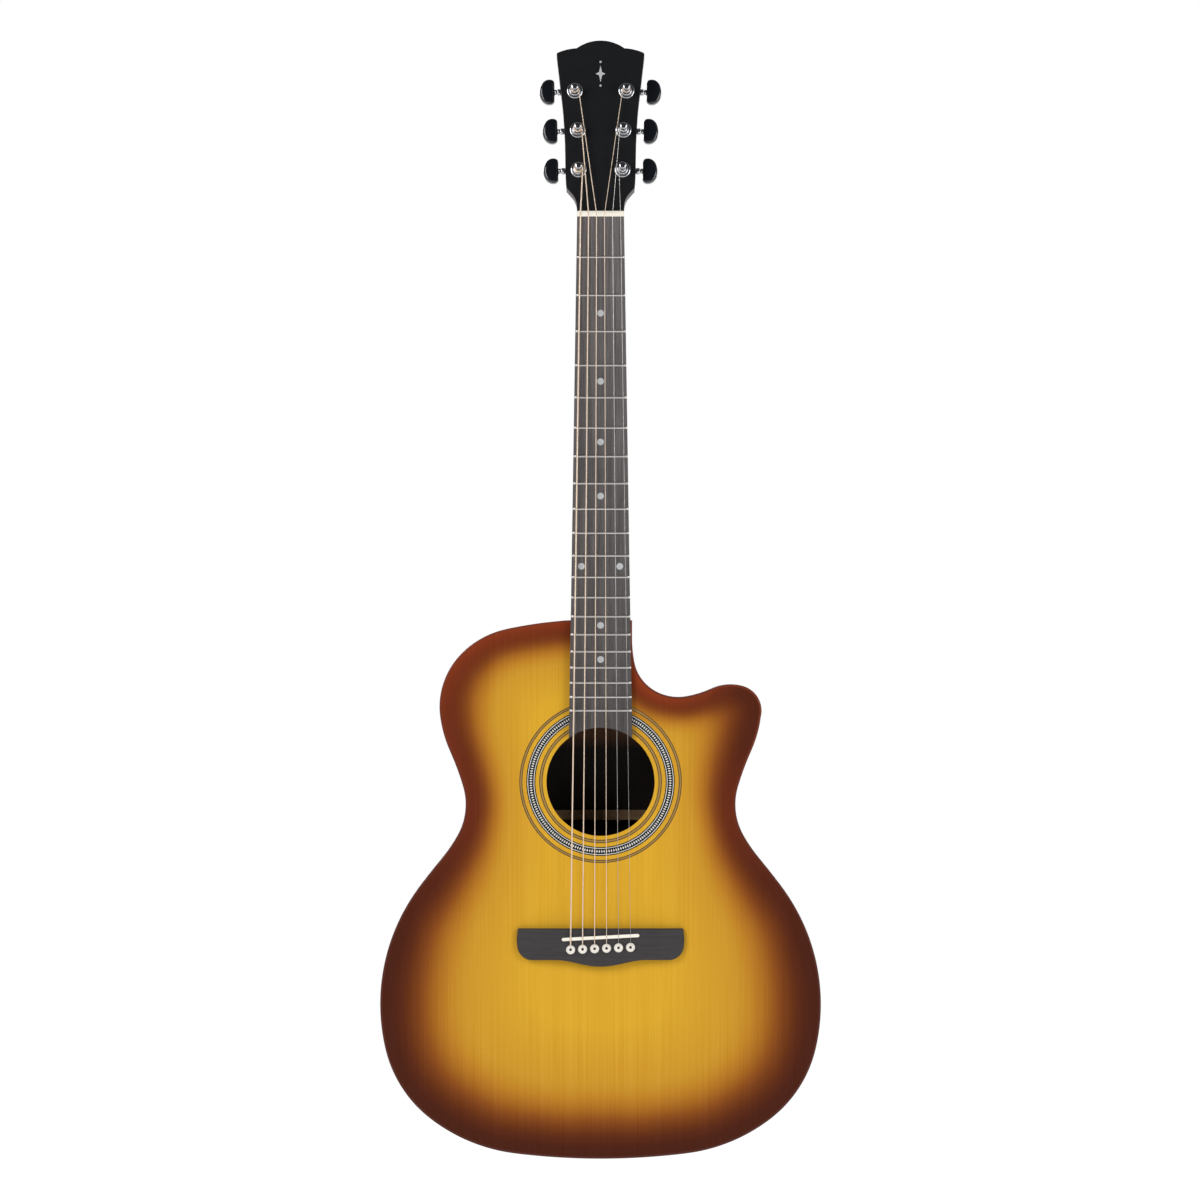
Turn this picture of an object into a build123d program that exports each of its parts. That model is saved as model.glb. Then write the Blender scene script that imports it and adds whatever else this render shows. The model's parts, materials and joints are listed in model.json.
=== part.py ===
"""Steel-string acoustic guitar with a cutaway body, as an assembly of separate pieces.

Millimetres.  +Z runs up the neck to the head, +X is the treble side, -Y is the front of the guitar.
The origin is the middle of the nut line, where the fretboard starts, in the plane of the soundboard's
outer face (y = 0), which is also the glue plane of the neck and the fretboard.
"""
import math
import os

from build123d import *

# ---------------------------------------------------------------- driving dimensions
SCALE_LENGTH = 650.0
FRET_COUNT = 20
MARKED_SPACES = (3, 5, 7, 9, 15, 17)
DOUBLE_MARKED_SPACE = 12
DOUBLE_MARK_X = 17.3

FINGERBOARD_WIDTH = 42.2
FINGERBOARD_TAPER = 0.0318
FINGERBOARD_THICKNESS = 6.0
CAMBER_RADIUS = 400.0
FRET_HEIGHT = 1.1
FRET_WIDTH = 2.2
TANG_WIDTH = 0.55
TANG_BOTTOM = -4.2

BODY_TOP = -364.0
BODY_TAIL = -849.4
TOP_THICKNESS = 2.8
BACK_THICKNESS = 2.5
SIDE_THICKNESS = 2.0
BINDING_HEIGHT = 6.0
LINING_WIDTH = 6.0
LINING_HEIGHT = 13.0
BRACE_CLEARANCE = 8.4
SHELL_REACH = 120.0
BACK_ZONE_START = 70.0
BACK_ZONE_DEPTH = 50.0

DOME_RADIUS = 4500.0
DOME_DEPTH = 111.0
DOME_TOP_Z = -736.0

HOLE_Z = -509.6
HOLE_RADIUS = 48.8
ROSETTE_DEPTH = 1.0
ROSETTE_RINGS = {"inner": (52.3, 55.3), "center": (58.8, 66.9), "outer": (70.5, 73.2)}

NUT_THICKNESS = 5.0
NUT_TOP = 8.0
STRING_NAMES = ("e6", "a5", "d4", "g3", "b2", "e1")
STRING_DIAMETERS = (1.35, 1.07, 0.81, 0.61, 0.41, 0.30)
STRING_GAP_NUT = 7.2
STRING_GAP_SADDLE = 10.8
STRING_SLACK = 0.05
STRING_BALL_RADIUS = 2.2
WIND_HEIGHTS = (4.4, 6.2, 6.6, 6.6, 6.2, 4.4)

BRIDGE_THICKNESS = 8.5
BRIDGE_WING = 4.0
BRIDGE_HALF = 75.5
BRIDGE_TOP = -641.7
BRIDGE_BOTTOM = -670.3
BRIDGE_BELLY = -676.2
SADDLE_Z = -649.9
SADDLE_SLANT = math.degrees(math.atan2(3.8, 70.0))
SADDLE_LENGTH = 70.0
SADDLE_WIDTH = 3.0
SADDLE_TOP = 11.3
SADDLE_SEAT = 4.5
PIN_Z = -659.8
PIN_SLANT = 2.1 / 54.0
PIN_RADIUS = 2.5
PIN_HEAD_RADIUS = 4.15

NECK_DEPTH_NUT = 15.0
NECK_DEPTH_HEEL = 17.5
HEEL_DEPTH = 92.0
HEEL_CAP_THICKNESS = 2.0
ROD_Y = 9.5
ROD_RADIUS = 3.0
ROD_THREAD_RADIUS = 2.5
ROD_NUT_RADIUS = 4.0
ROD_NUT_LENGTH = 15.0
ROD_RECESS = 16.0
ROD_TOP = -8.0
NECK_BLOCK_END = -406.0
NECK_BLOCK_SPAN = (-34.0, 26.5)
NECK_BLOCK_LENGTH = 60.0
TAIL_BLOCK_WIDTH = 90.0
TAIL_BLOCK_LENGTH = 20.0
STRIP_WIDTH = 16.0
STRIP_THICKNESS = 2.0
BRIDGE_PLATE_THICKNESS = 2.5
BRIDGE_PLATE_CORNERS = ((-53, -640), (53, -640), (75, -682), (-75, -682))
BOLT_RADIUS = 3.0
BOLT_DEPTHS = (34.0, 66.0)
BOLT_BITE = 18.0
BOLT_HEAD_RADIUS = 5.5
BOLT_HEAD_HEIGHT = 4.0
BOLT_HEX_RADIUS = 2.9

HEAD_TILT = 14.0
HEAD_FRONT = -1.5
VENEER = 2.0
HEAD_THICKNESS = 16.0
POSTS = ((19.8, 38.6), (20.6, 75.6), (23.3, 112.2))
POST_RADIUS = 3.2
POST_HEIGHT = 16.5
POST_JOURNAL = 2.0
JOURNAL_END = 1.8
RUNNING_GAP = 0.05
BUSHING_RADIUS = 4.9
WASHER_RADIUS = 7.25
WORM_OFFSET = 4.8
WORM_DEPTH = 24.5
SHAFT_RADIUS = 1.5
WORM_RADIUS = 1.75
GEAR_TEETH = 12
GEAR_ROOT = 2.35
GEAR_TIP = 2.75
HOUSING_WIDTH = 15.0
HOUSING_LENGTH = 17.0
HOUSING_DEPTH = 13.5
HOUSING_SHIFT = (0.5, 1.3)
LUG_OFFSET = 9.3
LUG_THICKNESS = 1.8
SCREW_OFFSET = 9.5
SCREW_RADIUS = 1.2
SCREW_HEAD_RADIUS = 2.4
SCREW_HEAD_HEIGHT = 1.4
SCREW_LENGTH = 9.0
SLEEVE_RADIUS = 3.0
SLEEVE_END = 15.6
BUTTON_START = 18.0
BUTTON_LENGTH = 13.8
BUTTON_HEIGHT = 23.0
BUTTON_THICKNESS = 8.6

SIN_TILT = math.sin(math.radians(HEAD_TILT))
COS_TILT = math.cos(math.radians(HEAD_TILT))
HEAD = Plane(origin=(0, HEAD_FRONT, NUT_THICKNESS), x_dir=(1, 0, 0), z_dir=(0, -COS_TILT, SIN_TILT))
BACK_CENTRE = (0, DOME_DEPTH - DOME_RADIUS, DOME_TOP_Z)
CAMBER_CENTRE = (0, CAMBER_RADIUS - FINGERBOARD_THICKNESS, 0)
BELOW_FACE = (Align.CENTER, Align.CENTER, Align.MAX)
ABOVE_FACE = (Align.CENTER, Align.CENTER, Align.MIN)

os.makedirs("parts", exist_ok=True)


# ---------------------------------------------------------------- shared shapes and rules
def save(builder, name):
    """Label a finished piece and write its file."""
    builder.part.label = name
    export_step(builder.part, f"parts/{name}.step")


def fret_z(number):
    """Height of a fret: each one shortens the string by a twelfth root of two."""
    return -SCALE_LENGTH * (1 - 2 ** (-number / 12))


def space_z(number):
    """Middle of the space behind a fret."""
    return (fret_z(number - 1) + fret_z(number)) / 2


def fingerboard_width(z):
    return FINGERBOARD_WIDTH + FINGERBOARD_TAPER * abs(z)


def camber(x):
    """How far a cambered surface falls back at a distance from the middle."""
    return CAMBER_RADIUS - math.sqrt(CAMBER_RADIUS ** 2 - x ** 2)


def arc_points(start, heading, corners):
    """Chain of arcs, each leaving along the end direction of the one before it."""
    point = Vector(*start)
    direction = Vector(*heading)
    for corner in corners:
        arc = TangentArc(point, Vector(*corner), tangent=direction)
        point = arc @ 1
        direction = arc % 1
    return point


# Tail to neck corner on the bass side, each point where one arc runs into the next.
LOWER_BOUT = ((77.5, -844.6), (153.7, -813.1), (193.9, -750.6), (163.2, -603.9))
WAIST = ((143.3, -578.7), (128.7, -557.3), (124.0, -513.7), (135.9, -481.6), (144.6, -450.8))
SHOULDER = ((126.5, -395.1), (85.5, -372.0), (28.0, BODY_TOP))
CUTAWAY = ((30.5, -401.5), (49.5, -427.9), (77.5, -432.6), (100.0, -425.6), (128.1, -423.2), (144.6, -450.8))
CUTAWAY_X = 28.5
CUTAWAY_START = -380.0


def body_outline(inset=0.0):
    """Outline of the body, drawn in plan with the neck up, offset inwards by the inset."""
    with BuildSketch() as outline:
        with BuildLine():
            arc_points((0, BODY_TAIL), (-1, 0), [(-x, z) for x, z in LOWER_BOUT + WAIST + SHOULDER])
            Line((-SHOULDER[-1][0], BODY_TOP), (CUTAWAY_X, BODY_TOP))
            Line((CUTAWAY_X, BODY_TOP), (CUTAWAY_X, CUTAWAY_START))
            arc_points((CUTAWAY_X, CUTAWAY_START), (0, -1), CUTAWAY)
            arc_points((0, BODY_TAIL), (1, 0), LOWER_BOUT + WAIST)
        make_face()
        if inset:
            offset(amount=-inset, kind=Kind.INTERSECTION)
    return outline.sketch


OUTER = body_outline()
INSIDE_BINDING = body_outline(SIDE_THICKNESS)
INSIDE_LINING = body_outline(SIDE_THICKNESS + LINING_WIDTH)
BRACE_FIELD = body_outline(BRACE_CLEARANCE)


def rim(outer, inner):
    """The band between two outlines."""
    with BuildSketch() as band:
        add(outer)
        add(inner, mode=Mode.SUBTRACT)
    return band.sketch


EDGE_BAND = rim(OUTER, INSIDE_BINDING)
LINING_BAND = rim(INSIDE_BINDING, INSIDE_LINING)


def dome(depth):
    """The sphere that lies a depth inside the outer face of the arched back."""
    return Pos(*BACK_CENTRE) * Sphere(DOME_RADIUS - depth, mode=Mode.PRIVATE)


def dome_y(z, depth):
    """Where that sphere crosses the centre line."""
    return BACK_CENTRE[1] + math.sqrt((DOME_RADIUS - depth) ** 2 - (z - DOME_TOP_Z) ** 2)


def camber_cylinder(height):
    """Cylinder whose front is a cambered surface a height above the fingerboard's own."""
    long = 2 * abs(BODY_TAIL)
    return Pos(*CAMBER_CENTRE) * Cylinder(CAMBER_RADIUS + height, long, mode=Mode.PRIVATE)


def string_x(index, gap):
    return (index - (len(STRING_NAMES) - 1) / 2) * gap


def saddle_z(x):
    return SADDLE_Z + x * math.tan(math.radians(SADDLE_SLANT))


def pin_z(x):
    return PIN_Z + x * PIN_SLANT


def post_place(index):
    """Side, distance from the middle and height up the head of the post that holds a string."""
    side = -1 if index < 3 else 1
    distance, up = POSTS[index] if index < 3 else POSTS[5 - index]
    return side, distance, up


def string_path(index):
    """Corners of one string from its ball end under the bridge to its tuning post."""
    radius = STRING_DIAMETERS[index] / 2
    low_x = string_x(index, STRING_GAP_SADDLE)
    nut_x = string_x(index, STRING_GAP_NUT)
    exit_z = pin_z(low_x) + PIN_RADIUS + 0.3
    nut_point = Vector(nut_x, camber(nut_x) - NUT_TOP + 0.1, NUT_THICKNESS / 2)
    side, distance, up = post_place(index)
    start = HEAD.to_local_coords(nut_point)
    centre_x = side * distance
    reach = POST_RADIUS + 3 * radius + 0.3
    run = math.hypot(centre_x - start.X, up - start.Y)
    bearing = math.atan2(up - start.Y, centre_x - start.X)
    swing = math.asin(reach / run) * side
    length = math.sqrt(run ** 2 - reach ** 2)
    angle = bearing + swing
    end = Vector(start.X + length * math.cos(angle), start.Y + length * math.sin(angle), WIND_HEIGHTS[index])
    return [
        Vector(low_x, 9.0, exit_z),
        Vector(low_x, -BRIDGE_THICKNESS - 0.9, exit_z),
        Vector(low_x, camber(low_x) - SADDLE_TOP - radius + 0.15, saddle_z(low_x)),
        nut_point,
        HEAD.from_local_coords(end),
    ]


def string_solid(index, slack=0.0):
    """One string as a round wire; slack fattens it to cut its own slots."""
    corners = string_path(index)
    with BuildPart() as wire:
        with BuildLine() as path:
            FilletPolyline(*corners, radius=[1.8, 3.0, 6.0])
        with BuildSketch(Plane(origin=path.line @ 0, z_dir=path.line % 0)):
            Circle(STRING_DIAMETERS[index] / 2 + slack)
        sweep()
    return wire.part


STRING_SLOTS = [string_solid(i, STRING_SLACK) for i in range(len(STRING_NAMES))]


# ---------------------------------------------------------------- body shell
with BuildPart() as soundboard:
    with BuildSketch(Plane.XZ):
        add(INSIDE_BINDING)
        with Locations((0, HOLE_Z)):
            Circle(HOLE_RADIUS, mode=Mode.SUBTRACT)
    extrude(amount=-TOP_THICKNESS)
    for inner, outer in ROSETTE_RINGS.values():
        with BuildSketch(Plane.XZ):
            with Locations((0, HOLE_Z)):
                Circle(outer)
                Circle(inner, mode=Mode.SUBTRACT)
        extrude(amount=-ROSETTE_DEPTH, mode=Mode.SUBTRACT)
    with BuildSketch(Plane.XZ):
        for i in range(len(STRING_NAMES)):
            x = string_x(i, STRING_GAP_SADDLE)
            with Locations((x, pin_z(x))):
                Circle(PIN_RADIUS + RUNNING_GAP)
    extrude(amount=-TOP_THICKNESS, mode=Mode.SUBTRACT)
    for slot in STRING_SLOTS:
        add(slot, mode=Mode.SUBTRACT)
save(soundboard, "soundboard")

for ring_name, (inner, outer) in ROSETTE_RINGS.items():
    with BuildPart() as rosette:
        with BuildSketch(Plane.XZ):
            with Locations((0, HOLE_Z)):
                Circle(outer)
                Circle(inner, mode=Mode.SUBTRACT)
        extrude(amount=-ROSETTE_DEPTH)
    save(rosette, f"rosette_{ring_name}")

with BuildPart() as top_binding:
    with BuildSketch(Plane.XZ):
        add(EDGE_BAND)
    extrude(amount=-BINDING_HEIGHT)
save(top_binding, "top_binding")

with BuildPart() as back_plate:
    with BuildSketch(Plane.XZ.offset(-BACK_ZONE_START)):
        add(INSIDE_BINDING)
    extrude(amount=-BACK_ZONE_DEPTH)
    add(dome(0), mode=Mode.INTERSECT)
    add(dome(BACK_THICKNESS), mode=Mode.SUBTRACT)
save(back_plate, "back_plate")

with BuildPart() as back_binding:
    with BuildSketch(Plane.XZ.offset(-BACK_ZONE_START)):
        add(EDGE_BAND)
    extrude(amount=-BACK_ZONE_DEPTH)
    add(dome(0), mode=Mode.INTERSECT)
    add(dome(BINDING_HEIGHT), mode=Mode.SUBTRACT)
save(back_binding, "back_binding")

for side_name, split_keep in (("side_bass", Keep.TOP), ("side_treble", Keep.BOTTOM)):
    with BuildPart() as side:
        with BuildSketch(Plane.XZ.offset(-BINDING_HEIGHT)):
            add(EDGE_BAND)
        extrude(amount=-SHELL_REACH)
        add(dome(BINDING_HEIGHT), mode=Mode.INTERSECT)
        with Locations((0, ROD_Y, BODY_TOP)):
            Cylinder(ROD_RADIUS, 10 * SIDE_THICKNESS, mode=Mode.SUBTRACT)
        with Locations(*[(0, depth, BODY_TOP) for depth in BOLT_DEPTHS]):
            Cylinder(BOLT_RADIUS + RUNNING_GAP, 10 * SIDE_THICKNESS, mode=Mode.SUBTRACT)
        split(bisect_by=Plane(origin=(0, 0, 0), x_dir=(0, 1, 0), z_dir=(-1, 0, 0)), keep=split_keep)
    save(side, side_name)


def block_zone(low_x, high_x, low_z, length):
    """Box through the whole depth of the body that holds one end block."""
    corner = Pos(low_x, 0, low_z)
    return corner * Box(high_x - low_x, SHELL_REACH, length, align=(Align.MIN, Align.MIN, Align.MIN))


NECK_BLOCK_ZONE = block_zone(*NECK_BLOCK_SPAN, NECK_BLOCK_END, NECK_BLOCK_LENGTH)
TAIL_BLOCK_ZONE = block_zone(-TAIL_BLOCK_WIDTH / 2, TAIL_BLOCK_WIDTH / 2, BODY_TAIL, TAIL_BLOCK_LENGTH)

with BuildPart() as top_lining:
    with BuildSketch(Plane.XZ.offset(-TOP_THICKNESS)):
        add(LINING_BAND)
    extrude(amount=-LINING_HEIGHT)
    add(NECK_BLOCK_ZONE, mode=Mode.SUBTRACT)
    add(TAIL_BLOCK_ZONE, mode=Mode.SUBTRACT)
save(top_lining, "top_lining")

with BuildPart() as back_lining:
    with BuildSketch(Plane.XZ.offset(-BACK_ZONE_START)):
        add(LINING_BAND)
    extrude(amount=-BACK_ZONE_DEPTH)
    add(dome(BACK_THICKNESS), mode=Mode.INTERSECT)
    add(dome(BACK_THICKNESS + LINING_HEIGHT), mode=Mode.SUBTRACT)
    add(NECK_BLOCK_ZONE, mode=Mode.SUBTRACT)
    add(TAIL_BLOCK_ZONE, mode=Mode.SUBTRACT)
save(back_lining, "back_lining")

with BuildPart() as neck_block:
    with BuildSketch(Plane.XZ.offset(-TOP_THICKNESS)):
        add(INSIDE_BINDING)
    extrude(amount=-SHELL_REACH)
    add(dome(BACK_THICKNESS), mode=Mode.INTERSECT)
    add(NECK_BLOCK_ZONE, mode=Mode.INTERSECT)
    with Locations((0, ROD_Y, NECK_BLOCK_END)):
        Cylinder(ROD_NUT_RADIUS + 0.5, ROD_RECESS, align=ABOVE_FACE, mode=Mode.SUBTRACT)
    with Locations((0, ROD_Y, BODY_TOP)):
        Cylinder(ROD_RADIUS, NECK_BLOCK_LENGTH, mode=Mode.SUBTRACT)
    with Locations(*[(0, depth, BODY_TOP) for depth in BOLT_DEPTHS]):
        Cylinder(BOLT_RADIUS + RUNNING_GAP, 2 * NECK_BLOCK_LENGTH, mode=Mode.SUBTRACT)
save(neck_block, "neck_block")

with BuildPart() as tail_block:
    with BuildSketch(Plane.XZ.offset(-TOP_THICKNESS)):
        add(INSIDE_BINDING)
    extrude(amount=-SHELL_REACH)
    add(dome(BACK_THICKNESS), mode=Mode.INTERSECT)
    add(TAIL_BLOCK_ZONE, mode=Mode.INTERSECT)
save(tail_block, "tail_block")

# ---------------------------------------------------------------- braces
X_CROSSING = -588.0
X_ANGLE = 50.0
X_BRACE_WIDTH = 8.0
X_BRACE_HEIGHT = 12.0
TRANSVERSE_Z = -449.5
TRANSVERSE_WIDTH = 9.0
LIGHT_BRACE_WIDTH = 6.0
LIGHT_BRACE_HEIGHT = 8.0
# Light braces: middle x, middle z, length and angle from the X axis.
TONE_BARS = ((0, -728, 160, -25), (30, -775, 130, -25))
FINGER_BARS = ((119.4, -638.9, 56, 50), (149.3, -674, 44, 50))
HOLE_BARS = ((66, -492, 42, 90),)
BACK_BRACE_ZS = (-440.0, -540.0, -645.0, -755.0)
BACK_BRACE_WIDTH = 9.0
BACK_BRACE_HEIGHT = 14.0


def x_brace(sign):
    """One leg of the X brace, laid across the soundboard from rim to rim."""
    with BuildPart() as leg:
        with BuildSketch(Plane.XZ.offset(-TOP_THICKNESS)):
            with Locations((0, X_CROSSING)):
                Rectangle(X_BRACE_WIDTH, 700, rotation=sign * X_ANGLE)
            add(BRACE_FIELD, mode=Mode.INTERSECT)
        extrude(amount=-X_BRACE_HEIGHT)
    return leg.part


with BuildPart() as x_braces:
    add(x_brace(1))
first_leg = x_braces.part.solid()
second_leg = (x_brace(-1) - x_brace(1)).solids()
x_braces.part = Compound(children=[first_leg] + list(second_leg))
save(x_braces, "x_braces")


def mirrored_bars(bars):
    return [(side * x, z, length, side * angle) for x, z, length, angle in bars for side in (-1, 1)]


with BuildPart() as top_braces:
    with BuildSketch(Plane.XZ.offset(-TOP_THICKNESS)):
        with Locations((0, TRANSVERSE_Z)):
            Rectangle(400, TRANSVERSE_WIDTH)
        add(BRACE_FIELD, mode=Mode.INTERSECT)
    extrude(amount=-(ROD_Y + ROD_NUT_RADIUS + 1))
    with Locations((0, ROD_Y, TRANSVERSE_Z)):
        Cylinder(ROD_NUT_RADIUS, 2 * TRANSVERSE_WIDTH, mode=Mode.SUBTRACT)
    with BuildSketch(Plane.XZ.offset(-TOP_THICKNESS)):
        for x, z, length, angle in list(TONE_BARS) + mirrored_bars(FINGER_BARS + HOLE_BARS):
            with Locations((x, z)):
                Rectangle(length, LIGHT_BRACE_WIDTH, rotation=angle)
    extrude(amount=-LIGHT_BRACE_HEIGHT)
save(top_braces, "top_braces")

with BuildPart() as bridge_plate:
    with BuildSketch(Plane.XZ.offset(-TOP_THICKNESS)):
        with BuildLine():
            Polyline(*BRIDGE_PLATE_CORNERS, close=True)
        make_face()
        for i in range(len(STRING_NAMES)):
            x = string_x(i, STRING_GAP_SADDLE)
            with Locations((x, pin_z(x))):
                Circle(PIN_RADIUS + RUNNING_GAP, mode=Mode.SUBTRACT)
    extrude(amount=-BRIDGE_PLATE_THICKNESS)
    for slot in STRING_SLOTS:
        add(slot, mode=Mode.SUBTRACT)
save(bridge_plate, "bridge_plate")

with BuildPart() as back_braces:
    for z in BACK_BRACE_ZS:
        with Locations((0, dome_y(z, BACK_THICKNESS) - BACK_BRACE_HEIGHT, z)):
            Box(500, 30, BACK_BRACE_WIDTH, align=(Align.CENTER, Align.MIN, Align.CENTER))
    with BuildSketch(Plane.XZ.offset(-BACK_ZONE_START)):
        add(BRACE_FIELD)
    extrude(amount=-BACK_ZONE_DEPTH, mode=Mode.INTERSECT)
    add(dome(BACK_THICKNESS), mode=Mode.INTERSECT)
save(back_braces, "back_braces")

strip_low = BODY_TAIL + TAIL_BLOCK_LENGTH
back_zone_middle = BACK_ZONE_START + BACK_ZONE_DEPTH / 2
with BuildPart() as back_strip:
    with Locations((0, back_zone_middle, strip_low)):
        Box(STRIP_WIDTH, BACK_ZONE_DEPTH, NECK_BLOCK_END - strip_low, align=ABOVE_FACE)
    add(dome(BACK_THICKNESS), mode=Mode.INTERSECT)
    add(dome(BACK_THICKNESS + STRIP_THICKNESS), mode=Mode.SUBTRACT)
    for z in BACK_BRACE_ZS:
        with Locations((0, back_zone_middle, z)):
            Box(2 * STRIP_WIDTH, 2 * BACK_ZONE_DEPTH, BACK_BRACE_WIDTH, mode=Mode.SUBTRACT)
save(back_strip, "back_strip")

# ---------------------------------------------------------------- bridge
with BuildPart() as bridge:
    with BuildSketch(Plane.XZ) as plan:
        with BuildLine():
            Line((0, BRIDGE_TOP), (BRIDGE_HALF - 0.8, BRIDGE_TOP))
            Line((BRIDGE_HALF - 0.8, BRIDGE_TOP), (BRIDGE_HALF, BRIDGE_TOP - 12))
            Line((BRIDGE_HALF, BRIDGE_TOP - 12), (BRIDGE_HALF - 1.5, BRIDGE_BOTTOM))
            Line((BRIDGE_HALF - 1.5, BRIDGE_BOTTOM), (42, BRIDGE_BOTTOM))
            Spline((42, BRIDGE_BOTTOM), (0, BRIDGE_BELLY), tangents=((-1, 0), (-1, 0)))
            mirror(about=Plane.YZ)
        make_face()
        low_corners = plan.vertices().filter_by(lambda v: abs(v.X) > 70 and v.Y < BRIDGE_BOTTOM + 1)
        fillet(low_corners, 11)
        top_corners = plan.vertices().filter_by(lambda v: abs(v.X) > 70 and v.Y > BRIDGE_TOP - 1)
        fillet(top_corners, 1.5)
    extrude(amount=BRIDGE_THICKNESS)
    with BuildSketch(Plane.XY.offset(BRIDGE_BELLY - 5)):
        with BuildLine():
            Line((0, 0), (BRIDGE_HALF + 5, 0))
            Line((BRIDGE_HALF + 5, 0), (BRIDGE_HALF + 5, -BRIDGE_WING))
            Spline((BRIDGE_HALF + 5, -BRIDGE_WING), (46, -BRIDGE_THICKNESS), tangents=((-1, 0), (-1, 0)))
            Line((46, -BRIDGE_THICKNESS), (0, -BRIDGE_THICKNESS))
            mirror(about=Plane.YZ)
        make_face()
    extrude(amount=50, mode=Mode.INTERSECT)
    with BuildSketch(Plane.XZ.offset(SADDLE_SEAT)):
        with Locations((0, SADDLE_Z)):
            SlotOverall(SADDLE_LENGTH, SADDLE_WIDTH, rotation=SADDLE_SLANT)
    extrude(amount=10, mode=Mode.SUBTRACT)
    with BuildSketch(Plane.XZ):
        for i in range(len(STRING_NAMES)):
            x = string_x(i, STRING_GAP_SADDLE)
            with Locations((x, pin_z(x))):
                Circle(PIN_RADIUS + RUNNING_GAP)
    extrude(amount=10, mode=Mode.SUBTRACT)
    for slot in STRING_SLOTS:
        add(slot, mode=Mode.SUBTRACT)
save(bridge, "bridge")

with BuildPart() as saddle:
    with BuildSketch(Plane.XZ.offset(SADDLE_SEAT)):
        with Locations((0, SADDLE_Z)):
            SlotOverall(SADDLE_LENGTH, SADDLE_WIDTH, rotation=SADDLE_SLANT)
    extrude(amount=10)
    add(camber_cylinder(SADDLE_TOP - FINGERBOARD_THICKNESS), mode=Mode.INTERSECT)
    for slot in STRING_SLOTS:
        add(slot, mode=Mode.SUBTRACT)
save(saddle, "saddle")

with BuildPart() as bridge_pins:
    for i in range(len(STRING_NAMES)):
        x = string_x(i, STRING_GAP_SADDLE)
        with BuildSketch(Plane.XY.offset(pin_z(x))):
            with BuildLine():
                top = -BRIDGE_THICKNESS
                Line((x, 7), (x + PIN_RADIUS - 0.6, 7))
                Line((x + PIN_RADIUS - 0.6, 7), (x + PIN_RADIUS, 5))
                Line((x + PIN_RADIUS, 5), (x + PIN_RADIUS, top))
                Line((x + PIN_RADIUS, top), (x + PIN_HEAD_RADIUS - 0.6, top))
                Line((x + PIN_HEAD_RADIUS - 0.6, top), (x + PIN_HEAD_RADIUS, top - 0.8))
                TangentArc((x + PIN_HEAD_RADIUS, top - 0.8), (x, top - 3.2), tangent=(0, -1))
                Line((x, top - 3.2), (x, 7))
            make_face()
        revolve(axis=Axis((x, 0, pin_z(x)), (0, 1, 0)))
    for slot in STRING_SLOTS:
        add(slot, mode=Mode.SUBTRACT)
save(bridge_pins, "bridge_pins")

# ---------------------------------------------------------------- neck and head
HEEL_SLICES = ((0.0, 26.9, 62.0), (20.0, 25.0, 50.0), (50.0, 19.5, 32.0), (HEEL_DEPTH, 15.0, 22.0))


def half_round(width, depth):
    """Half an ellipse on the back side of the neck."""
    with BuildSketch() as shape:
        Ellipse(width / 2, depth)
        with Locations((0, -depth)):
            Rectangle(2 * width, 2 * depth, mode=Mode.SUBTRACT)
    return shape.sketch


def heel_slice(half_width, height):
    """Slice of the heel, flat against the body and rounded up the neck."""
    with BuildSketch() as shape:
        with Locations((0, BODY_TOP)):
            Ellipse(half_width, height)
        with Locations((0, BODY_TOP - height)):
            Rectangle(4 * half_width, 2 * height, mode=Mode.SUBTRACT)
    return shape.sketch


def head_outline():
    """Outline of the head in its own plane, with the raised arc along its top."""
    with BuildSketch() as shape:
        with BuildLine():
            Line((0, -2), (21.2, -2))
            Line((21.2, -2), (21.2, 3))
            arc = TangentArc((21.2, 3), (24.6, 14.6), tangent=(0, 1))
            Line(arc @ 1, (30.6, 21.6))
            Spline((30.6, 21.6), (31.9, 56.6), (33.8, 93.8), (39.7, 147.2), tangents=((0.12, 1), (0.1, 1)))
            ThreePointArc((39.7, 147.2), (31, 150.4), (21.9, 151.8))
            Line((21.9, 151.8), (0, 151.8))
            mirror(about=Plane.YZ)
        make_face()
        with BuildLine():
            crown = ThreePointArc((-21.9, 151.6), (0, 159), (21.9, 151.6))
            Line(crown @ 1, crown @ 0)
        make_face()
        corners = shape.vertices().filter_by(lambda v: abs(v.X) > 39)
        fillet(corners, 2.0)
    return shape.sketch


HEAD_SHAPE = head_outline()

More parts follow.
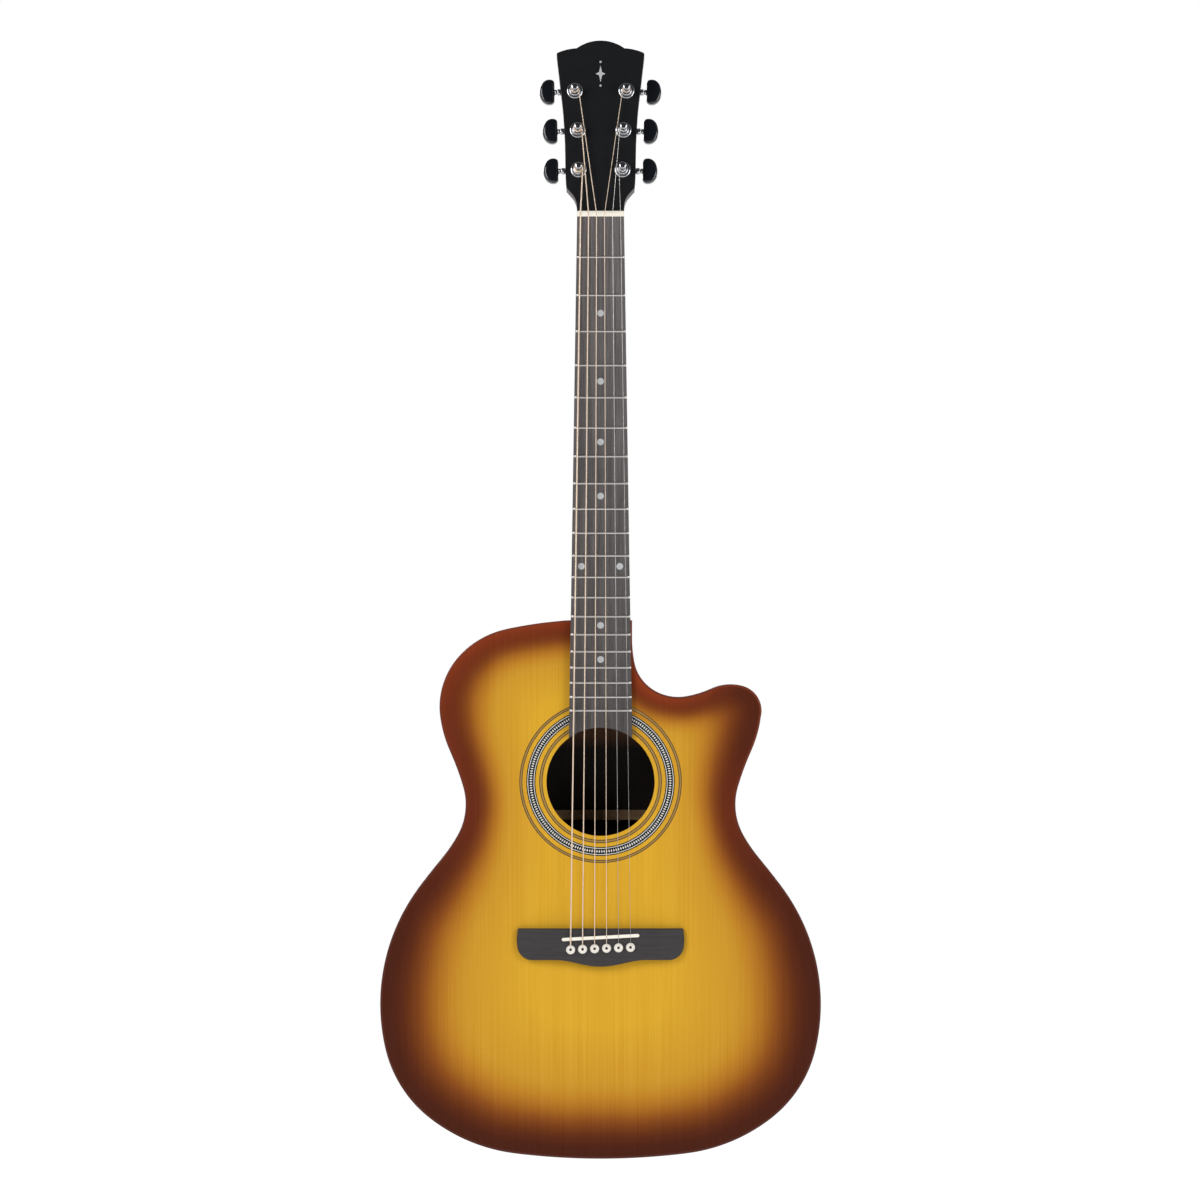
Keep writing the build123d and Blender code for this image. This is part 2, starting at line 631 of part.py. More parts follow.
with BuildPart() as neck:
    with BuildSketch(Plane.XY.offset(NUT_THICKNESS)):
        add(half_round(fingerboard_width(0), NECK_DEPTH_NUT))
    with BuildSketch(Plane.XY.offset(BODY_TOP)):
        add(half_round(fingerboard_width(BODY_TOP), NECK_DEPTH_HEEL))
    loft()
    for depth, half_width, height in HEEL_SLICES:
        with BuildSketch(Plane.XZ.offset(-depth)):
            add(heel_slice(half_width, height))
    loft()
    with BuildSketch(HEAD.offset(-VENEER)):
        add(HEAD_SHAPE)
    extrude(amount=-(HEAD_THICKNESS - VENEER))
    with Locations((0, 0, NUT_THICKNESS)):
        Box(80, 20, 600, align=(Align.CENTER, Align.MAX, Align.MAX), mode=Mode.SUBTRACT)
    with Locations((0, ROD_Y, BODY_TOP)):
        Cylinder(ROD_RADIUS, ROD_TOP - BODY_TOP, align=ABOVE_FACE, mode=Mode.SUBTRACT)
    with Locations(*[(0, depth, BODY_TOP) for depth in BOLT_DEPTHS]):
        Cylinder(BOLT_RADIUS, BOLT_BITE, align=ABOVE_FACE, mode=Mode.SUBTRACT)
    for i in range(len(STRING_NAMES)):
        side, distance, up = post_place(i)
        with BuildSketch(HEAD):
            with Locations((side * distance, up)):
                Circle(BUSHING_RADIUS)
        extrude(amount=-HEAD_THICKNESS - 5, mode=Mode.SUBTRACT)
        with BuildSketch(HEAD.offset(-HEAD_THICKNESS)):
            with Locations((side * (distance - SCREW_OFFSET), up)):
                Circle(SCREW_RADIUS)
        extrude(amount=SCREW_LENGTH - 1, mode=Mode.SUBTRACT)
save(neck, "neck")

with BuildPart() as heel_cap:
    with BuildSketch(Plane.XZ.offset(-HEEL_DEPTH)):
        add(heel_slice(*HEEL_SLICES[-1][1:]))
    extrude(amount=-HEEL_CAP_THICKNESS)
save(heel_cap, "heel_cap")

ORNAMENT_UP = 128.0
ORNAMENT_DEPTH = 0.6


def ornament():
    """Plain inlay: a slim four-pointed lozenge with a small dot above and below it."""
    with BuildSketch() as shape:
        with BuildLine():
            tips = [(0, 8), (1.3, 1.6), (4.5, 0), (1.3, -1.6), (0, -8), (-1.3, -1.6), (-4.5, 0), (-1.3, 1.6)]
            Polyline(*[(x, ORNAMENT_UP + y) for x, y in tips], close=True)
        make_face()
        with Locations((0, ORNAMENT_UP + 11), (0, ORNAMENT_UP - 11)):
            Circle(1.0)
    return shape.sketch


with BuildPart() as head_veneer:
    with BuildSketch(HEAD):
        add(HEAD_SHAPE)
        for i in range(len(STRING_NAMES)):
            side, distance, up = post_place(i)
            with Locations((side * distance, up)):
                Circle(BUSHING_RADIUS, mode=Mode.SUBTRACT)
    extrude(amount=-VENEER)
    with BuildSketch(HEAD):
        add(ornament())
    extrude(amount=-ORNAMENT_DEPTH, mode=Mode.SUBTRACT)
    with Locations((0, 0, NUT_THICKNESS)):
        Box(80, 40, 60, align=(Align.CENTER, Align.CENTER, Align.MAX), mode=Mode.SUBTRACT)
save(head_veneer, "head_veneer")

with BuildPart() as head_inlay:
    with BuildSketch(HEAD):
        add(ornament())
    extrude(amount=-ORNAMENT_DEPTH)
save(head_inlay, "head_inlay")

with BuildPart() as truss_rod:
    with Locations((0, ROD_Y, NECK_BLOCK_END + ROD_RECESS)):
        Cylinder(ROD_RADIUS, ROD_TOP - NECK_BLOCK_END - ROD_RECESS, align=ABOVE_FACE)
        Cylinder(ROD_THREAD_RADIUS, 10, align=BELOW_FACE)
save(truss_rod, "truss_rod")

with BuildPart() as truss_rod_nut:
    with Locations((0, ROD_Y, NECK_BLOCK_END + ROD_RECESS - 2)):
        Cylinder(ROD_NUT_RADIUS, ROD_NUT_LENGTH, align=BELOW_FACE)
        Cylinder(ROD_THREAD_RADIUS + RUNNING_GAP, 9, align=BELOW_FACE, mode=Mode.SUBTRACT)
    with BuildSketch(Plane.XY.offset(NECK_BLOCK_END - 1)):
        with Locations((0, ROD_Y)):
            RegularPolygon(2.3, 6)
    extrude(amount=5, mode=Mode.SUBTRACT)
save(truss_rod_nut, "truss_rod_nut")

with BuildPart() as neck_bolts:
    for depth in BOLT_DEPTHS:
        with Locations((0, depth, NECK_BLOCK_END)):
            Cylinder(BOLT_RADIUS, BODY_TOP - NECK_BLOCK_END + BOLT_BITE, align=ABOVE_FACE)
            Cylinder(BOLT_HEAD_RADIUS, BOLT_HEAD_HEIGHT, align=BELOW_FACE)
        with BuildSketch(Plane.XY.offset(NECK_BLOCK_END - BOLT_HEAD_HEIGHT)):
            with Locations((0, depth)):
                RegularPolygon(BOLT_HEX_RADIUS, 6)
        extrude(amount=3, mode=Mode.SUBTRACT)
save(neck_bolts, "neck_bolts")

# ---------------------------------------------------------------- fretboard, frets and nut
END_Z = HOLE_Z + math.sqrt(HOLE_RADIUS ** 2 - (fingerboard_width(-470) / 2) ** 2)

with BuildPart() as fretboard:
    with BuildSketch(Plane.XZ):
        with BuildLine():
            top_half = fingerboard_width(0) / 2
            end_half = fingerboard_width(END_Z) / 2
            Polyline((-top_half, 0), (top_half, 0), (end_half, END_Z), (-end_half, END_Z), close=True)
        make_face()
        with Locations((0, HOLE_Z)):
            Circle(HOLE_RADIUS, mode=Mode.SUBTRACT)
    extrude(amount=FINGERBOARD_THICKNESS)
    add(camber_cylinder(0), mode=Mode.INTERSECT)
    for number in range(1, FRET_COUNT + 1):
        z = fret_z(number)
        with Locations((0, TANG_BOTTOM, z)):
            Box(fingerboard_width(z) - 3, 5, TANG_WIDTH, align=(Align.CENTER, Align.MAX, Align.CENTER),
                mode=Mode.SUBTRACT)
    marks = [(0, space_z(n)) for n in MARKED_SPACES]
    marks += [(x, space_z(DOUBLE_MARKED_SPACE)) for x in (-DOUBLE_MARK_X, DOUBLE_MARK_X)]
    with BuildSketch(Plane.XZ.offset(4.5)):
        with Locations(*marks):
            Circle(3.0)
    extrude(amount=5, mode=Mode.SUBTRACT)
save(fretboard, "fretboard")

with BuildPart() as frets:
    for number in range(1, FRET_COUNT + 1):
        z = fret_z(number)
        with Locations((0, -3, z)):
            Box(fingerboard_width(z), 6, FRET_WIDTH, align=(Align.CENTER, Align.MAX, Align.CENTER))
    add(camber_cylinder(FRET_HEIGHT), mode=Mode.INTERSECT)
    add(camber_cylinder(0), mode=Mode.SUBTRACT)
    for number in range(1, FRET_COUNT + 1):
        z = fret_z(number)
        with Locations((0, TANG_BOTTOM, z)):
            Box(fingerboard_width(z) - 3, 1.85, TANG_WIDTH,
                align=(Align.CENTER, Align.MAX, Align.CENTER))
save(frets, "frets")

with BuildPart() as fret_markers:
    with BuildSketch(Plane.XZ.offset(4.5)):
        with Locations(*marks):
            Circle(3.0)
    extrude(amount=5)
    add(camber_cylinder(0), mode=Mode.INTERSECT)
save(fret_markers, "fret_markers")

with BuildPart() as nut:
    with BuildSketch(Plane.YZ.offset(-FINGERBOARD_WIDTH / 2)):
        with BuildLine():
            Polyline((0, 0), (-NUT_TOP, 0), (-NUT_TOP, 2.6), (-NUT_TOP + 1.0, NUT_THICKNESS),
                     (0, NUT_THICKNESS), close=True)
        make_face()
    extrude(amount=FINGERBOARD_WIDTH)
    add(camber_cylinder(NUT_TOP - FINGERBOARD_THICKNESS), mode=Mode.INTERSECT)
    for slot in STRING_SLOTS:
        add(slot, mode=Mode.SUBTRACT)
save(nut, "nut")

# ---------------------------------------------------------------- tuners
ALL_POSTS = [post_place(i) for i in range(len(STRING_NAMES))]

with BuildPart(HEAD) as tuner_bushings:
    for side, distance, up in ALL_POSTS:
        with Locations((side * distance, up, 0)):
            Cylinder(BUSHING_RADIUS, 9, align=BELOW_FACE)
            Cylinder(BUSHING_RADIUS, 1, align=ABOVE_FACE)
        with Locations((side * distance, up, 1)):
            Cone(5.4, 4.4, 2.0, align=ABOVE_FACE)
        with Locations((side * distance, up, 0)):
            Cylinder(POST_RADIUS + RUNNING_GAP, 30, mode=Mode.SUBTRACT)
save(tuner_bushings, "tuner_bushings")

with BuildPart(HEAD) as tuner_washers:
    for side, distance, up in ALL_POSTS:
        with Locations((side * distance, up, 0)):
            Cylinder(WASHER_RADIUS, 1, align=ABOVE_FACE)
            Cylinder(BUSHING_RADIUS, 4, mode=Mode.SUBTRACT)
    rims = tuner_washers.edges().filter_by(GeomType.CIRCLE)
    outer_rims = rims.filter_by(lambda e: e.radius > WASHER_RADIUS - 0.1)
    chamfer(outer_rims.filter_by(lambda e: HEAD.to_local_coords(e.center()).Z > 0.5), 0.5)
save(tuner_washers, "tuner_washers")

with BuildPart(HEAD) as tuner_housings:
    for side, distance, up in ALL_POSTS:
        x = side * distance
        with Locations((x + side * HOUSING_SHIFT[0], up + HOUSING_SHIFT[1], -HEAD_THICKNESS)):
            Box(HOUSING_WIDTH, HOUSING_LENGTH, HOUSING_DEPTH, align=BELOW_FACE)
        with Locations((x - side * LUG_OFFSET, up, -HEAD_THICKNESS)):
            Box(6, 7, LUG_THICKNESS, align=BELOW_FACE)
        with Locations((x + side * (8 + SLEEVE_END) / 2, up + WORM_OFFSET, -WORM_DEPTH)):
            Cylinder(SLEEVE_RADIUS, SLEEVE_END - 7, rotation=(0, 90, 0))
    corners = tuner_housings.edges().filter_by(Axis((0, 0, 0), HEAD.z_dir)).group_by(SortBy.LENGTH)[-1]
    fillet(corners, 2.5)
    for side, distance, up in ALL_POSTS:
        x = side * distance
        with Locations((x, up, -WORM_DEPTH)):
            Cylinder(GEAR_TIP + 0.45, 4.4, mode=Mode.SUBTRACT)
        with Locations((x, up, -HEAD_THICKNESS)):
            Cylinder(POST_JOURNAL + RUNNING_GAP, HOUSING_DEPTH - JOURNAL_END, align=BELOW_FACE,
                     mode=Mode.SUBTRACT)
        with Locations((x, up + WORM_OFFSET, -WORM_DEPTH)):
            Cylinder(WORM_RADIUS + 0.35, 9, rotation=(0, 90, 0), mode=Mode.SUBTRACT)
        with Locations((x + side * 15, up + WORM_OFFSET, -WORM_DEPTH)):
            Cylinder(SHAFT_RADIUS + RUNNING_GAP, 30, rotation=(0, 90, 0), mode=Mode.SUBTRACT)
        with Locations((x - side * SCREW_OFFSET, up, -HEAD_THICKNESS)):
            Cylinder(SCREW_RADIUS, 4, mode=Mode.SUBTRACT)
save(tuner_housings, "tuner_housings")

with BuildPart(HEAD) as tuner_screws:
    for side, distance, up in ALL_POSTS:
        x = side * (distance - SCREW_OFFSET)
        under_lug = -HEAD_THICKNESS - LUG_THICKNESS
        with Locations((x, up, under_lug)):
            Cylinder(SCREW_RADIUS, SCREW_LENGTH, align=ABOVE_FACE)
            Cylinder(SCREW_HEAD_RADIUS, SCREW_HEAD_HEIGHT, align=BELOW_FACE)
        with Locations((x, up, under_lug - SCREW_HEAD_HEIGHT)):
            Box(3.2, 0.7, 1.2, mode=Mode.SUBTRACT)
            Box(0.7, 3.2, 1.2, mode=Mode.SUBTRACT)
save(tuner_screws, "tuner_screws")

POST_HOLE_HEIGHT = 11.4


def wound_height(index):
    """Height of the string's turns on its post."""
    return 4.5 * STRING_DIAMETERS[index] + 0.6


for i in range(len(STRING_NAMES)):
    side, distance, up = post_place(i)
    x = side * distance
    with BuildPart(HEAD) as tuner_post:
        with Locations((x, up, -HEAD_THICKNESS + 0.3)):
            Cylinder(POST_RADIUS, HEAD_THICKNESS - 0.3 + POST_HEIGHT, align=ABOVE_FACE)
            Cylinder(POST_JOURNAL, HOUSING_DEPTH - JOURNAL_END - 0.5, align=BELOW_FACE)
        top_rim = tuner_post.edges().filter_by(GeomType.CIRCLE).filter_by(
            lambda e: HEAD.to_local_coords(e.center()).Z > POST_HEIGHT - 0.1)
        fillet(top_rim, 1.0)
        with Locations((x, up, POST_HOLE_HEIGHT)):
            Cylinder(0.9, 20, rotation=(90, 0, 0), mode=Mode.SUBTRACT)
        with BuildSketch(HEAD.offset(-WORM_DEPTH - 1.5)):
            with Locations((x, up)):
                Circle(GEAR_ROOT)
                with PolarLocations((GEAR_ROOT + GEAR_TIP) / 2 - 0.1, GEAR_TEETH):
                    Rectangle(GEAR_TIP - GEAR_ROOT + 0.2, 0.55)
        extrude(amount=3.0)
    with BuildPart(HEAD) as winding:
        with Locations((x, up, WIND_HEIGHTS[i] - STRING_DIAMETERS[i] / 2)):
            Cylinder(POST_RADIUS + STRING_DIAMETERS[i], wound_height(i), align=ABOVE_FACE)
            Cylinder(POST_RADIUS, wound_height(i), align=ABOVE_FACE, mode=Mode.SUBTRACT)
    tuner_post.part = Compound(children=[tuner_post.part.solid(), winding.part.solid()])
    save(tuner_post, f"tuner_post_{STRING_NAMES[i]}")

    with BuildPart(HEAD) as tuner_shaft:
        with Locations((x + side * (BUTTON_START + 4) / 2, up + WORM_OFFSET, -WORM_DEPTH)):
            Cylinder(SHAFT_RADIUS, BUTTON_START + 12, rotation=(0, 90, 0))
        with Locations((x, up + WORM_OFFSET, -WORM_DEPTH)):
            Cylinder(WORM_RADIUS, 8.4, rotation=(0, 90, 0))
    save(tuner_shaft, f"tuner_shaft_{STRING_NAMES[i]}")

    with BuildPart(HEAD) as tuner_button:
        with BuildSketch(HEAD.offset(-WORM_DEPTH - BUTTON_THICKNESS / 2)) as shape:
            with Locations((x + side * (BUTTON_START + 5.2), up + WORM_OFFSET)):
                Ellipse(BUTTON_LENGTH - 5.2, BUTTON_HEIGHT / 2)
                inner_half = (Align.MAX if side > 0 else Align.MIN, Align.CENTER)
                Rectangle(2 * BUTTON_HEIGHT, 2 * BUTTON_HEIGHT, align=inner_half, mode=Mode.SUBTRACT)
            with Locations((x + side * (BUTTON_START + 2.6), up + WORM_OFFSET)):
                Rectangle(5.2, BUTTON_HEIGHT)
            inner_corners = shape.vertices().filter_by(
                lambda v: abs(v.X - x) < BUTTON_START + 0.5 and abs(v.Y - up) > 2)
            fillet(inner_corners, 4.0)
        extrude(amount=BUTTON_THICKNESS)
        fillet(tuner_button.edges().filter_by(lambda e: abs(
            abs(HEAD.to_local_coords(e.center()).Z + WORM_DEPTH) - BUTTON_THICKNESS / 2) < 0.01), 2.2)
        with Locations((x + side * BUTTON_START, up + WORM_OFFSET, -WORM_DEPTH)):
            Cylinder(SHAFT_RADIUS, 16, rotation=(0, 90, 0), mode=Mode.SUBTRACT)
    save(tuner_button, f"tuner_button_{STRING_NAMES[i]}")

# ---------------------------------------------------------------- strings
for i in range(len(STRING_NAMES)):
    with BuildPart() as string:
        add(string_solid(i))
        with Locations(string_path(i)[0] + Vector(0, 1.0, 0)):
            Sphere(STRING_BALL_RADIUS)
    save(string, f"string_{STRING_NAMES[i]}")
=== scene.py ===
"""Looks of a cutaway acoustic guitar with a sunburst top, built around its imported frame.

Everything is in metres in the frame's own axes: +Z up the neck, +X the treble side, -Y the front.
"""
import json
import math

import bmesh
import bpy
import numpy as np
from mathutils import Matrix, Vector
from mathutils.geometry import delaunay_2d_cdt

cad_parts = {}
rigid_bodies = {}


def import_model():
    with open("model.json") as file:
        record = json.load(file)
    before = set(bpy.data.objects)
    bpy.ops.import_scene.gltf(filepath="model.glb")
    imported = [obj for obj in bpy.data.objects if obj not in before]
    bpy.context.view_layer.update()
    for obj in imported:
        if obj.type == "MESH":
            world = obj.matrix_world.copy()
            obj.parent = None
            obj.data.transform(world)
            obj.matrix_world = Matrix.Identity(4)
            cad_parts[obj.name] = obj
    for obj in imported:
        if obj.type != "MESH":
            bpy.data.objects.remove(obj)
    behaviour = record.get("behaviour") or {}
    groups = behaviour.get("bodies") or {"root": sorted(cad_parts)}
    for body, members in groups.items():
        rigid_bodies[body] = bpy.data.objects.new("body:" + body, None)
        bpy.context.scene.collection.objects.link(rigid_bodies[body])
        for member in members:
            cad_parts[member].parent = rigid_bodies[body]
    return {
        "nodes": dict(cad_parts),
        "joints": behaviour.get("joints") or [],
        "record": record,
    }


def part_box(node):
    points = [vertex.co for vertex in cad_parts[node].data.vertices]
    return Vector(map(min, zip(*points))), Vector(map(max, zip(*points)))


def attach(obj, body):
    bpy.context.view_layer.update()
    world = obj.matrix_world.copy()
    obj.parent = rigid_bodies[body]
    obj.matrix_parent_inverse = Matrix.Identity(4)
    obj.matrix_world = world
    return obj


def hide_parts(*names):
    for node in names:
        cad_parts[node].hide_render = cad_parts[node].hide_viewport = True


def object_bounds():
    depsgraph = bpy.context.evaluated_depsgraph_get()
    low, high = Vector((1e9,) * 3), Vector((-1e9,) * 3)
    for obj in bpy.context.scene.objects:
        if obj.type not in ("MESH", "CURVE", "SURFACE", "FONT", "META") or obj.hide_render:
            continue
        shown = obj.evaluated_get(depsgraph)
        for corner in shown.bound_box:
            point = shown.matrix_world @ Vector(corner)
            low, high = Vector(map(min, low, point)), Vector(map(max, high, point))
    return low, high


for leftover in list(bpy.data.objects):
    bpy.data.objects.remove(leftover)

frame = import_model()
cad_low, cad_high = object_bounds()
NODES = frame["nodes"]
JOINTS = {joint["name"]: joint for joint in frame["joints"]}
MM = 0.001
STRINGS = ("e6", "a5", "d4", "g3", "b2", "e1")
DIAMETERS = dict(zip(STRINGS, (1.35 * MM, 1.07 * MM, 0.81 * MM, 0.61 * MM, 0.41 * MM, 0.30 * MM)))
WOUND = STRINGS[:4]
CAMBER = 0.4  # radius of the fretboard's curve across
MATERIALS = {}


# ---------------------------------------------------------------- colours and node helpers
def linear(red, green, blue):
    """Linear colour of an sRGB colour given in 0 to 255."""
    parts = [c / 255 for c in (red, green, blue)]
    return tuple(c / 12.92 if c <= 0.04045 else ((c + 0.055) / 1.055) ** 2.4 for c in parts) + (1.0,)


def map_range(tree, source, limits, smooth=False):
    """Stretch a value; limits are the two it comes from and the two it goes to."""
    node = tree.nodes.new("ShaderNodeMapRange")
    node.interpolation_type = "SMOOTHSTEP" if smooth else "LINEAR"
    tree.links.new(source, node.inputs["Value"])
    for socket, limit in zip(("From Min", "From Max", "To Min", "To Max"), limits):
        node.inputs[socket].default_value = limit
    return node.outputs["Result"]


class Graph:
    """A new material's node tree, with short ways to add and join nodes."""

    def __init__(self, name):
        self.name = name
        self.material = bpy.data.materials.new(name)
        self.material.use_nodes = True
        self.tree = self.material.node_tree
        self.shader = self.tree.nodes["Principled BSDF"]

    def add(self, kind, **settings):
        node = self.tree.nodes.new(kind)
        for key, value in settings.items():
            setattr(node, key, value)
        return node

    def join(self, source, target):
        self.tree.links.new(source, target)

    def scaled(self, scale, source=None):
        """Coordinates stretched along each axis, in cells per metre."""
        node = self.add("ShaderNodeVectorMath", operation="MULTIPLY")
        self.join(source or self.object_coords(), node.inputs[0])
        node.inputs[1].default_value = scale
        return node.outputs[0]

    def object_coords(self):
        return self.add("ShaderNodeTexCoord").outputs["Object"]

    def noise(self, scale, detail=3.0, rough=0.55, source=None, distortion=0.0):
        node = self.add("ShaderNodeTexNoise")
        self.join(self.scaled(scale, source), node.inputs["Vector"])
        node.inputs["Scale"].default_value = 1.0
        node.inputs["Detail"].default_value = detail
        node.inputs["Roughness"].default_value = rough
        node.inputs["Distortion"].default_value = distortion
        return node.outputs["Fac"]

    def ramp(self, source, stops, smooth=False):
        node = self.add("ShaderNodeValToRGB")
        node.color_ramp.interpolation = "B_SPLINE" if smooth else "LINEAR"
        elements = node.color_ramp.elements
        while len(elements) < len(stops):
            elements.new(0.5)
        for element, (place, colour) in zip(elements, stops):
            element.position = place
            element.color = colour if hasattr(colour, "__len__") else (colour, colour, colour, 1.0)
        self.join(source, node.inputs["Fac"])
        return node.outputs["Color"]

    def mix(self, factor, first, second, blend="MIX"):
        node = self.add("ShaderNodeMix", data_type="RGBA", blend_type=blend, clamp_factor=True)
        for socket, value in ((node.inputs[0], factor), (node.inputs[6], first), (node.inputs[7], second)):
            if isinstance(value, bpy.types.NodeSocket):
                self.join(value, socket)
            else:
                socket.default_value = value
        return node.outputs[2]

    def math(self, operation, first, second=0.0, third=0.0):
        node = self.add("ShaderNodeMath", operation=operation)
        for socket, value in zip(node.inputs, (first, second, third)):
            if isinstance(value, bpy.types.NodeSocket):
                self.join(value, socket)
            else:
                socket.default_value = value
        return node.outputs[0]

    def up_neck(self, low, high):
        """How far up the guitar a point is, as 0 at one height to 1 at another."""
        split = self.add("ShaderNodeSeparateXYZ")
        self.join(self.object_coords(), split.inputs[0])
        return self.to_range(split.outputs[2], 0.0, 1.0, low, high)

    def to_range(self, source, low, high, start=0.0, stop=1.0):
        """Stretch a value between start and stop to lie between two other numbers."""
        return map_range(self.tree, source, (start, stop, low, high))

    def bookmatched(self):
        """Distance from the middle, and coordinates that mirror the grain there."""
        split = self.add("ShaderNodeSeparateXYZ")
        self.join(self.object_coords(), split.inputs[0])
        across = self.math("ABSOLUTE", split.outputs[0])
        mirrored = self.add("ShaderNodeCombineXYZ")
        self.join(across, mirrored.inputs[0])
        self.join(split.outputs[2], mirrored.inputs[2])
        return across, mirrored.outputs[0]

    def attribute(self, name):
        return self.add("ShaderNodeAttribute", attribute_name=name).outputs["Fac"]

    def bump(self, height, distance, strength=1.0):
        node = self.add("ShaderNodeBump")
        node.inputs["Strength"].default_value = strength
        node.inputs["Distance"].default_value = distance
        self.join(height, node.inputs["Height"])
        self.join(node.outputs["Normal"], self.shader.inputs["Normal"])

    def finish(self, colour, roughness, metallic=0.0, specular=0.5, coat=0.0, coat_rough=0.1):
        self.join(colour, self.shader.inputs["Base Color"])
        self.join(roughness, self.shader.inputs["Roughness"])
        settings = (("Metallic", metallic), ("Specular IOR Level", specular), ("Coat Weight", coat),
                    ("Coat Roughness", coat_rough))
        for socket, value in settings:
            self.shader.inputs[socket].default_value = value
        MATERIALS[self.name] = self.material
        return self.material


# ---------------------------------------------------------------- materials
BURST_EDGE_HIGH = linear(150, 62, 28)
BURST_SPAN = 1.6
GRAIN_WEIGHTS = (0.6, 0.9, 2.8)  # how strongly the grain shows in red, green and blue
# Colours of the stain, each with its place between the rim (0) and BURST_SPAN (1). A measuring script
# printed them from the photograph's colours, and they were changed by two levels at the most.
BURST_STEPS = (
    (0.0, (73, 33, 21)), (0.09, (77, 34, 20)), (0.153, (90, 41, 21)), (0.198, (103, 50, 20)),
    (0.25, (121, 63, 25)), (0.302, (141, 78, 27)), (0.362, (163, 101, 31)), (0.421, (180, 118, 36)),
    (0.481, (193, 133, 39)), (0.54, (199, 144, 43)), (0.6, (205, 150, 45)), (0.731, (210, 155, 45)),
    (0.919, (215, 163, 46)), (1.0, (219, 167, 46)))


def spruce_top():
    """Bookmatched spruce under a satin burst: fine grain, darker towards the rim."""
    g = Graph("spruce_top")
    _, book = g.bookmatched()
    burst = g.attribute("burst")
    tone = g.noise((18, 0, 6), detail=2, source=book)
    uneven = g.math("ADD", burst, g.to_range(tone, -0.022, 0.022))
    stain = g.ramp(uneven, [(place, linear(*c)) for place, c in BURST_STEPS])
    warm = g.math("MULTIPLY", g.attribute("warm"), g.to_range(burst, 0.85, -2.1))
    stain = g.mix(warm, stain, BURST_EDGE_HIGH)
    lines = g.noise((700, 0, 4.5), detail=3, rough=0.75, source=book)
    fine = g.noise((2600, 0, 14), detail=2, rough=0.7, source=book)
    silk = g.noise((140, 0, 420), detail=2, rough=0.6, source=book)
    streak = g.noise((130, 0, 3.0), detail=2, rough=0.6, source=book)
    strong = g.to_range(g.noise((26, 0, 9), detail=1, source=book), 0.1, 1.6)
    shade = g.math("MULTIPLY", g.to_range(lines, -0.33, 0.33), strong)
    for layer, amount in ((fine, 0.06), (streak, 0.07), (silk, 0.02)):
        shade = g.math("ADD", shade, g.to_range(layer, -amount, amount))
    grain = g.add("ShaderNodeCombineColor")
    for socket, weight in zip(grain.inputs, GRAIN_WEIGHTS):
        g.join(g.math("MULTIPLY_ADD", shade, weight, 1.0), socket)
    colour = g.mix(1.0, stain, grain.outputs[0], blend="MULTIPLY")
    rough = g.to_range(fine, 0.40, 0.52)
    g.bump(g.math("ADD", lines, g.math("MULTIPLY", fine, 0.5)), 0.00004, 0.35)
    g.finish(colour, rough, specular=0.06)


def stained_wood(name, dark, light, along, gloss=0.22, coat=0.35, pore=0.35, specular=0.4,
                 nut_gain=1.0):
    """Figured wood; along is how many grain cells a metre holds on each axis.

    Its last argument is how much paler the wood is at the nut than at the other end of the fretboard.
    """
    g = Graph(name)
    figure = g.noise(along, detail=4, rough=0.6, distortion=0.6)
    pores = g.noise(tuple(4 * a for a in along), detail=2, rough=0.75)
    colour = g.ramp(figure, [(0.30, linear(*dark)), (0.72, linear(*light))])
    holes = g.ramp(pores, [(0.30, 0.45), (0.48, 1.0)])
    colour = g.mix(pore, colour, g.mix(1.0, colour, holes, blend="MULTIPLY"))
    if nut_gain != 1.0:
        paler_to_nut = g.ramp(g.up_neck(-0.47, 0.0), [(0.0, 1 / nut_gain), (1.0, 1.0)])
        colour = g.mix(1.0, colour, paler_to_nut, blend="MULTIPLY")
    g.bump(pores, 0.00006, 0.25)
    rough = g.to_range(pores, gloss, gloss + 0.14)
    g.finish(colour, rough, specular=specular, coat=coat, coat_rough=0.12)


def back_wood():
    """Two matched mahogany halves, glossy outside; inside, raw wood painted dark as shade within the body.
    """
    g = Graph("mahogany")
    across, book = g.bookmatched()
    figure = g.noise((34, 0, 3.2), detail=4, rough=0.55, source=book, distortion=0.8)
    ribbon = g.noise((16, 0, 60), detail=2, source=book)
    pores = g.noise((900, 0, 42), detail=2, rough=0.7, source=book)
    colour = g.ramp(figure, [(0.25, linear(60, 27, 19)), (0.5, linear(84, 39, 25)),
                             (0.78, linear(104, 52, 32))])
    bands = g.ramp(ribbon, [(0.35, linear(62, 28, 20)), (0.65, linear(110, 58, 36))])
    colour = g.mix(0.25, colour, bands)
    dots = g.ramp(pores, [(0.33, 0.4), (0.46, 1.0)])
    colour = g.mix(0.6, colour, g.mix(1.0, colour, dots, blend="MULTIPLY"))
    seam = g.math("LESS_THAN", across, 0.3 * MM)
    colour = g.mix(seam, colour, linear(34, 16, 12))
    facing = g.add("ShaderNodeSeparateXYZ")
    g.join(g.add("ShaderNodeNewGeometry").outputs["True Normal"], facing.inputs[0])
    inside_face = g.math("LESS_THAN", facing.outputs[1], 0.0)
    # Painted shade: the inside face is near-black, as the shaded inside of the body, and lighter brown
    # above a height.
    inside_shade = g.mix(figure, linear(26, 18, 14), linear(40, 27, 20))
    inside_shade = g.mix(g.up_neck(-0.480, -0.468), inside_shade, linear(104, 68, 42))
    colour = g.mix(inside_face, colour, inside_shade)
    g.bump(pores, 0.00005, 0.2)
    rough = g.math("ADD", g.to_range(pores, 0.20, 0.32), g.math("MULTIPLY", inside_face, 0.4))
    g.finish(colour, rough, specular=0.35)


